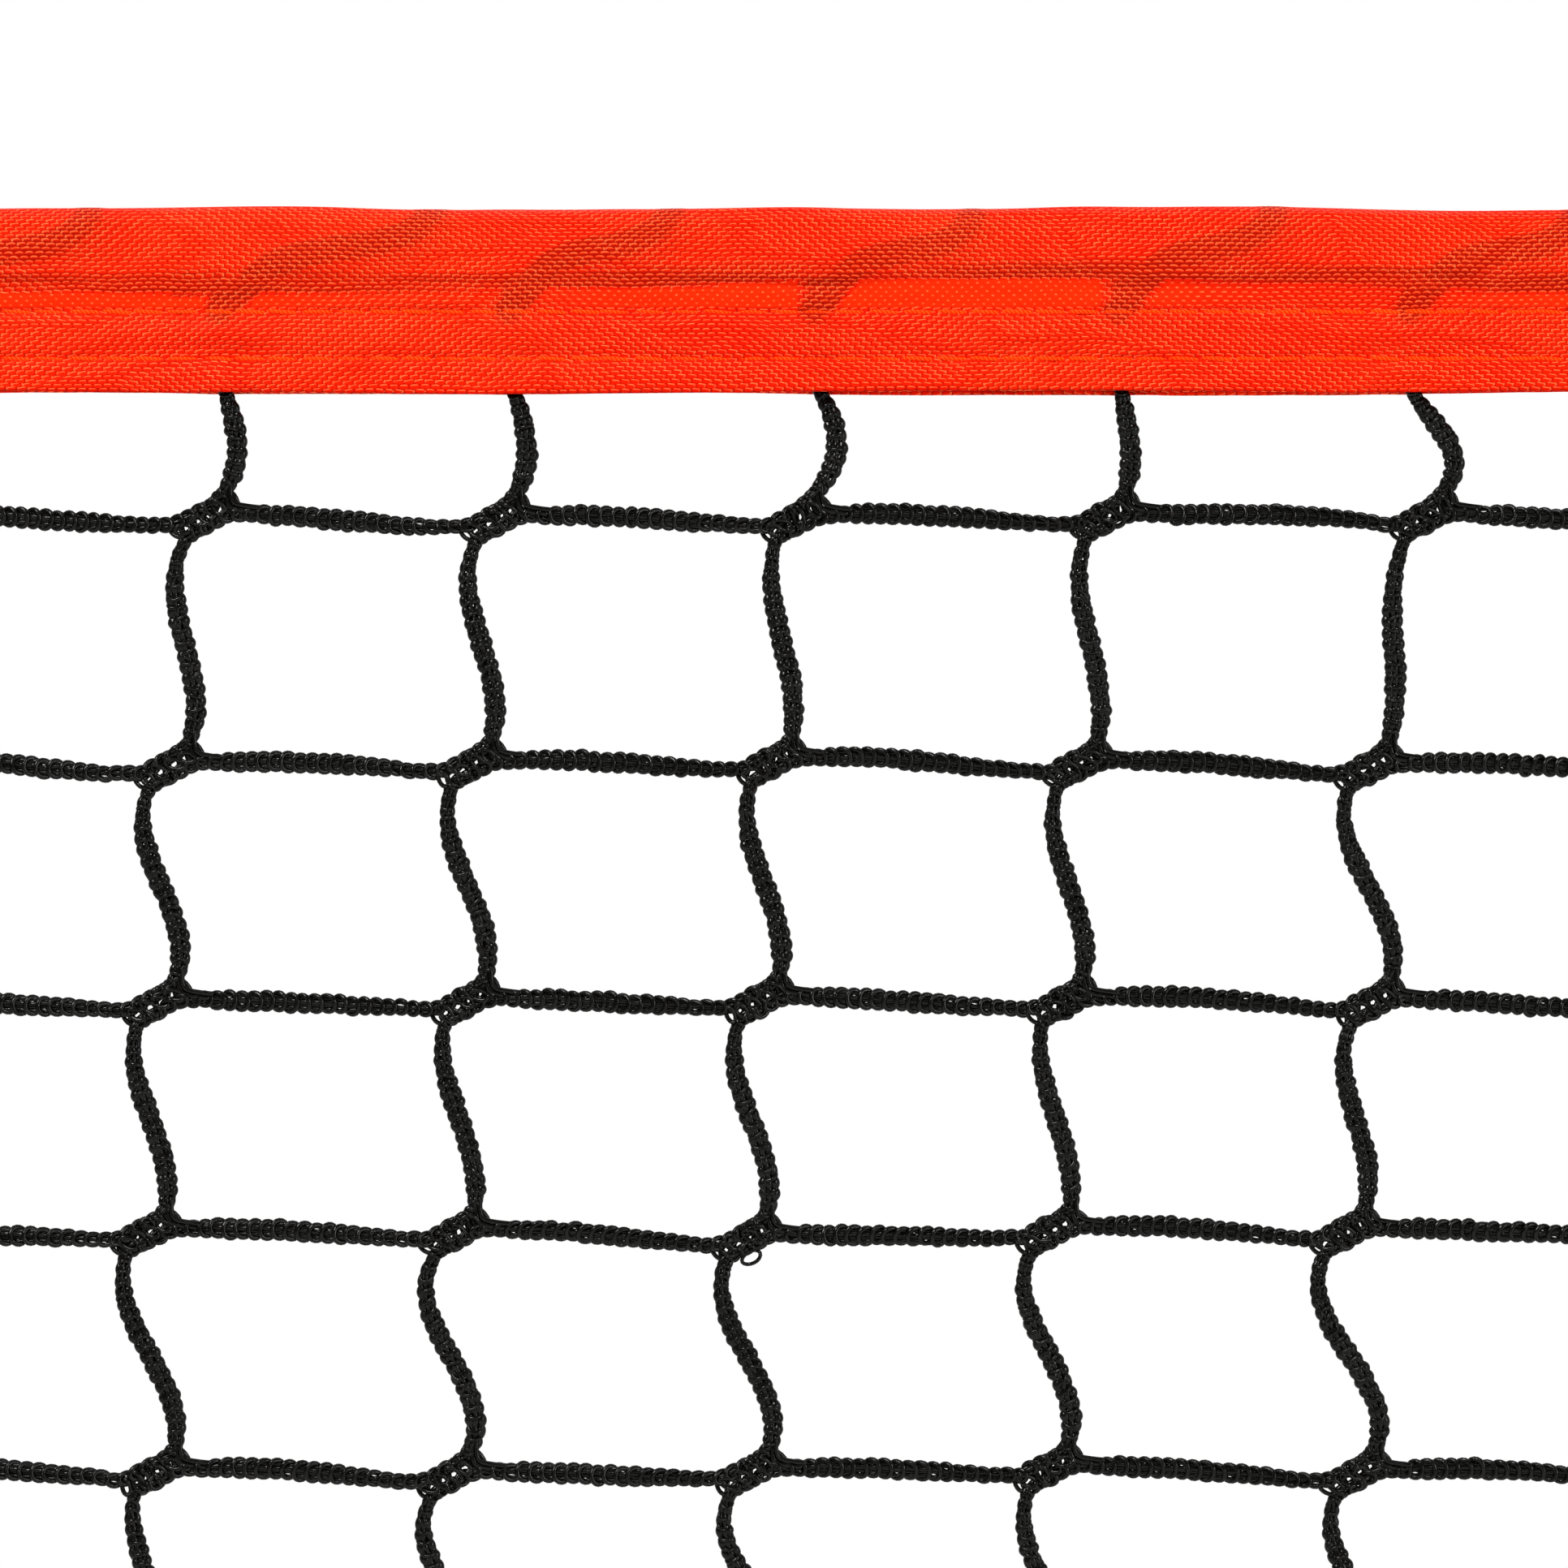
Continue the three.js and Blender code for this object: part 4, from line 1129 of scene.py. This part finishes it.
def make_bottom_tape():
    low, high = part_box("bottom_tape")
    width = high.z - low.z
    section = folded_section(width, HALF_TAPE)

    def place(inset, depth, run):
        return np.stack([run, depth * pressed(np.abs(run) - high.x), low.z + inset], -1)

    tuck = high.x + np.array([-2.4, -1.6, -0.9, -0.2, TUCK / MM]) * MM
    stations = np.concatenate([-tuck[::-1], np.linspace(low.x + 3.5 * MM, high.x - 3.5 * MM, 598), tuck])
    outer, inner, out, cloth = tape_surface(section, stations, place, 350)
    builder = Builder()
    builder.sheet(outer, inner, cloth)
    tape = builder.make("bottom_binding", ORANGE_TAPE)
    finish_piece(tape, "net_panel", "tape", "bottom_tape")
    threads = edge_stitches("bottom_stitches", section, outer, out, width, 450)


# ---------------------------------------------------------------- dowel pockets


def make_pocket(name, side):
    low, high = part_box(f"{name}_dowel_pocket")
    x_centre = (low.x + high.x) / 2
    base, crown = low.y + 0.35 * MM, high.y
    radius = (high.x - low.x) / 4 + 0.2 * MM
    half = (high.x - low.x) / 2
    shoulder = crown - radius
    turn = np.linspace(0, math.pi, 17)
    arch = np.stack([np.cos(turn) * radius, shoulder + np.sin(turn) * radius], -1)
    leg = np.array([[half, base], [half * 0.8, base], [radius + 1.6 * MM, base + 0.1 * MM], [radius + 0.5 * MM, base + 0.9 * MM], [radius + 0.1 * MM, shoulder - 2 * MM]])
    section = np.vstack([leg, arch, (leg * [-1, 1])[::-1]])
    floor = low.z + 1.0 * MM
    stations = np.concatenate([[low.z, low.z + 0.35 * MM], np.arange(floor, high.z - 1 * MM, 4 * MM), [high.z]])
    normal = section_normals(section)[None]
    run = stations[:, None] + 0 * section[None, :, 0]
    lift = smooth((section[None, :, 1] - base) / (3 * MM))
    proud = (0.4 * soft_noise(600 + side, run * 1.5, section[None, :, 0] * 3, 40 * MM) - 0.1) * lift
    flat = section[None] + normal * (np.clip(proud, -0.35, 0.25) * MM)[..., None]
    closed = 1 - np.clip(np.arange(len(stations)) / 2, 0, 1)[:, None]  # the foot is sewn shut
    flat[..., 1] = flat[..., 1] * (1 - closed) + (base + 0.6 * MM) * closed
    inside = flat - normal * CLOTH * 0.8
    outer = np.stack([x_centre + flat[..., 0], flat[..., 1], run], -1)
    inner = np.stack([x_centre + inside[..., 0], inside[..., 1], run], -1)
    cloth = np.stack([run, arc_lengths(section)[None, :] + 0 * run, 0 * run], -1)
    builder = Builder()
    builder.sheet(outer, inner, cloth)
    pocket = builder.make(f"{name}_pocket_sleeve", ORANGE_TAPE)
    finish_piece(pocket, "net_panel", "tape", f"{name}_dowel_pocket")
    builder = Builder()
    for column in (1, len(section) - 2):
        line = outer[:, column] * [1, 0, 1] + np.array([0, base + 0.15 * MM, 0])
        faces = np.array([0.0, 1.0, 0.0]) * np.ones((len(line), 1))
        stitch_row(builder, line, faces, STITCH_PITCH, 500 + side + column, never)
    threads = finish_piece(builder.make(f"{name}_pocket_stitches", ORANGE_THREAD), "net_panel", "thread")


# ---------------------------------------------------------------- turned pieces


def soften(profile, radius, steps=3):
    """A closed outline with its corners rounded off."""
    profile = np.array(profile, float)
    count = len(profile)
    points = []
    for i in range(count):
        corner, before, after = profile[i], profile[i - 1], profile[(i + 1) % count]
        back, on = before - corner, after - corner
        cut_back = min(radius, np.linalg.norm(back) * 0.45)
        cut_on = min(radius, np.linalg.norm(on) * 0.45)
        a = corner + back / np.linalg.norm(back) * cut_back
        b = corner + on / np.linalg.norm(on) * cut_on
        for t in np.linspace(0, 1, steps + 1):
            points.append((1 - t) ** 2 * a + 2 * t * (1 - t) * corner + t**2 * b)
    return np.array(points)


def ring(builder, centre, axis, profile, segments, swell=None):
    """A closed (radius, height) outline turned about an axis. swell changes the radius by angle."""
    axis = np.array(axis, float)
    first, second = square_to(axis[None], np.array([[0.3, 0.2, 0.9]]))
    turn = np.arange(segments) * 2 * math.pi / segments
    around = first * np.cos(turn)[:, None] + second * np.sin(turn)[:, None]
    radius = profile[None, :, 0] * (1 if swell is None else swell(turn)[:, None])
    points = np.array(centre) + around[:, None, :] * radius[..., None] + axis * profile[None, :, 1, None]
    count = len(profile)
    i, j = np.meshgrid(np.arange(segments), np.arange(count), indexing="ij")
    index = lambda i, j: (i % segments) * count + j % count
    quads = np.stack([index(i, j), index(i + 1, j), index(i + 1, j + 1), index(i, j + 1)], -1).reshape(-1, 4)
    builder.add_closed(points.reshape(-1, 3), quads)


def node_middle(name):
    low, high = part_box(name)
    return np.array((low + high) / 2), np.array(high - low)


def make_eyelet(name, i):
    middle, size = node_middle(f"{name}_eyelet_{i}")
    rim, bore, wall = size[0] / 2, 4.0 * MM, 0.5 * MM
    front, back = middle[1] - size[1] / 2, middle[1] + size[1] / 2
    builder = Builder()
    profile = soften([
        (bore, back), (bore, front + 0.3 * MM), (bore + 1.1 * MM, front - 0.05 * MM), (rim - 1.2 * MM, front + 0.1 * MM),
        (rim, front + 0.55 * MM), (rim - 0.1 * MM, front + 0.75 * MM), (bore + wall, front + 0.7 * MM), (bore + wall, back),
    ], 0.35 * MM)
    ring(builder, (middle[0], 0, middle[2]), (0, 1, 0), profile, 56)
    finish_piece(builder.make(f"{name}_eyelet_rim_{i}", NICKEL), "net_panel", "nickel", f"{name}_eyelet_{i}")
    middle, size = node_middle(f"{name}_eyelet_washer_{i}")
    low, high, inner, outer = middle[1] - size[1] / 2, middle[1] + size[1] / 2, 4.8 * MM, size[0] / 2
    builder = Builder()
    profile = soften([
        (inner, low), (outer, low), (outer - 0.1 * MM, high - 0.25 * MM), (outer - 1.0 * MM, high), (inner, high),
    ], 0.2 * MM)
    ring(builder, (middle[0], 0, middle[2]), (0, 1, 0), profile, 56)
    finish_piece(builder.make(f"{name}_eyelet_back_{i}", NICKEL), "net_panel", "nickel", f"{name}_eyelet_washer_{i}")


def make_thimble(name):
    middle, size = node_middle(f"{name}_thimble")
    rim, half, bore = size[0] / 2, size[1] / 2, 6.5 * MM
    seat, groove = 7.3 * MM, 2.3 * MM
    turn = np.linspace(-1, 1, 9)
    trough = [(seat + 1.9 * MM * abs(t) ** 3, groove * t) for t in turn]
    profile = soften([(bore, -half), (rim, -half), *trough, (rim, half), (bore, half)], 0.35 * MM)
    builder = Builder()
    ring(builder, middle, (0, 1, 0), profile, 72)
    finish_piece(builder.make(f"{name}_thimble_ring", NICKEL), "headline", "nickel", f"{name}_thimble")


def make_ferrule(name):
    """An oval sleeve over both runs of the rope, pressed in three places."""
    middle, size = node_middle(f"{name}_ferrule")
    length, half_y, half_z = size[0], size[1] / 2, size[2] / 2
    straight = half_z - half_y
    stations = np.concatenate([[0, 0.01, 0.03], np.linspace(0.06, 0.94, 30), [0.97, 0.99, 1]])
    press = sum(bell(stations - p, 0.055) for p in (0.2, 0.5, 0.8))
    edge = np.clip(np.minimum(stations, 1 - stations) / 0.03, 0, 1)
    shrink = 1 - 0.10 * press - 0.10 * (1 - np.sqrt(edge))
    turn = np.arange(40) * 2 * math.pi / 40
    wall = 1.2 * MM

    def shell(inset, scale):
        radius = half_y - inset
        y = np.cos(turn)[None, :] * radius * scale[:, None]
        z = np.sin(turn)[None, :] * radius * scale[:, None] + np.sign(np.sin(turn))[None, :] * straight
        x = middle[0] + (stations[:, None] - 0.5) * length + 0 * y
        return np.stack([x, middle[1] + y, middle[2] + z], -1)

    rope_bore = np.ones(len(stations))
    builder = Builder()
    builder.sleeve(shell(0, shrink), shell(wall, rope_bore))
    finish_piece(builder.make(f"{name}_pressed_ferrule", NICKEL), "headline", "nickel", f"{name}_ferrule")


def make_dowel(name):
    middle, size = node_middle(f"{name}_dowel")
    radius, length = size[0] / 2, size[2]
    heights = np.concatenate([[0, 0.3, 0.8, 1.5, 3], np.arange(20, length / MM - 10, 25), length / MM - np.array([3, 1.5, 0.8, 0.3, 0])]) * MM
    inset = np.minimum(heights, length - heights)
    round_off = radius - 0.8 * MM * (1 - smooth(inset / (1.2 * MM)))
    path = np.stack([middle[0] + 0 * heights, middle[1] + 0 * heights, middle[2] - length / 2 + heights], -1)
    ones = np.ones((len(heights), 1))
    builder = Builder()
    builder.tube(path, np.array([1.0, 0, 0]) * ones, np.array([0, 1.0, 0]) * ones, round_off, 36)
    finish_piece(builder.make(f"{name}_dowel_rod_wood", WOOD), f"{name}_dowel_rod", "dowel", f"{name}_dowel")
    low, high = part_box(f"{name}_dowel_cap")
    rim, tall, socket = (high.x - low.x) / 2, high.z - low.z, radius + 0.25 * MM
    deep = 8.2 * MM
    outline = [(0.02 * MM, deep), (socket, deep), (socket, 0), (rim - 0.4 * MM, 0), (rim, 0.5 * MM), (rim, tall - 3 * MM), (rim - 1.2 * MM, tall - 0.6 * MM), (rim - 3.2 * MM, tall), (0.02 * MM, tall)]
    profile = soften(outline, 0.5 * MM)
    grooved = np.array(profile)
    builder = Builder()
    ring(builder, (middle[0], middle[1], low.z), (0, 0, 1), grooved, 72, lambda turn: 1 - 0.018 * (0.5 + 0.5 * np.cos(turn * 18)) ** 3)
    finish_piece(builder.make(f"{name}_dowel_grip_cap", PLASTIC), f"{name}_dowel_rod", "cap", f"{name}_dowel_cap")


# ---------------------------------------------------------------- headline

ROPE_RADIUS = 2.0 * MM
LAY = 13 * MM  # one turn of the laid rope's strands


def headline_route():
    """The rope's route from its tail in the left ferrule, round both eyes, to its tail in the right one."""
    eye, size = node_middle("right_thimble")
    ferrule_low, ferrule_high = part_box("right_ferrule")
    spacing = -2 * eye[2]
    radius = 9.6 * MM
    turn = np.radians(np.linspace(130, -130, 40))
    loop = np.stack([eye[0] + radius * np.cos(turn), eye[2] + radius * np.sin(turn)], -1)
    start, end = ferrule_low.x, ferrule_high.x
    lead = [(x, 0.0) for x in np.arange(0, start, 25 * MM)] + [(start, 0.0), (end - 5 * MM, 0.0), (end + 2 * MM, 0.4 * MM)]
    tail = [(end + 2 * MM, -spacing - 0.4 * MM), (end - 5 * MM, -spacing), (start - 2 * MM, -spacing)]
    right = np.array(lead + [(end + 8 * MM, 2.4 * MM)] + list(map(tuple, loop)) + [(end + 8 * MM, -spacing - 2.4 * MM)] + tail)
    left = (right[1:] * [-1, 1])[::-1]
    both = np.vstack([left, right])
    return np.stack([both[:, 0], 0 * both[:, 0], both[:, 1]], -1)


def make_headline():
    route, along = resample(headline_route(), 1.6 * MM)
    route[1:-1] = (route[:-2] + 2 * route[1:-1] + route[2:]) / 4
    tangent = tangents(route)
    side = np.array([0.0, 1.0, 0.0]) * np.ones((len(route), 1))
    up = np.cross(side, tangent)
    builder = Builder()
    for strand in range(3):
        turn = along * 2 * math.pi / LAY + strand * 2 * math.pi / 3
        line = route + (side * np.cos(turn)[:, None] + up * np.sin(turn)[:, None]) * ROPE_RADIUS * 0.5
        first, second = square_to(tangents(line), line - route)
        builder.tube(line, first, second, ROPE_RADIUS * 0.5, 8)
    finish_piece(builder.make("headline_laid_rope", WHITE_ROPE), "headline", "rope", "headline_rope")


# ---------------------------------------------------------------- assembly

make_netting()
make_headband()
make_bottom_tape()
make_headline()
for name, side in (("left", -1), ("right", 1)):
    make_side_tape(name, side)
    make_pocket(name, side)
    make_dowel(name)
    make_thimble(name)
    make_ferrule(name)
    for i in range(1, 5):
        make_eyelet(name, i)
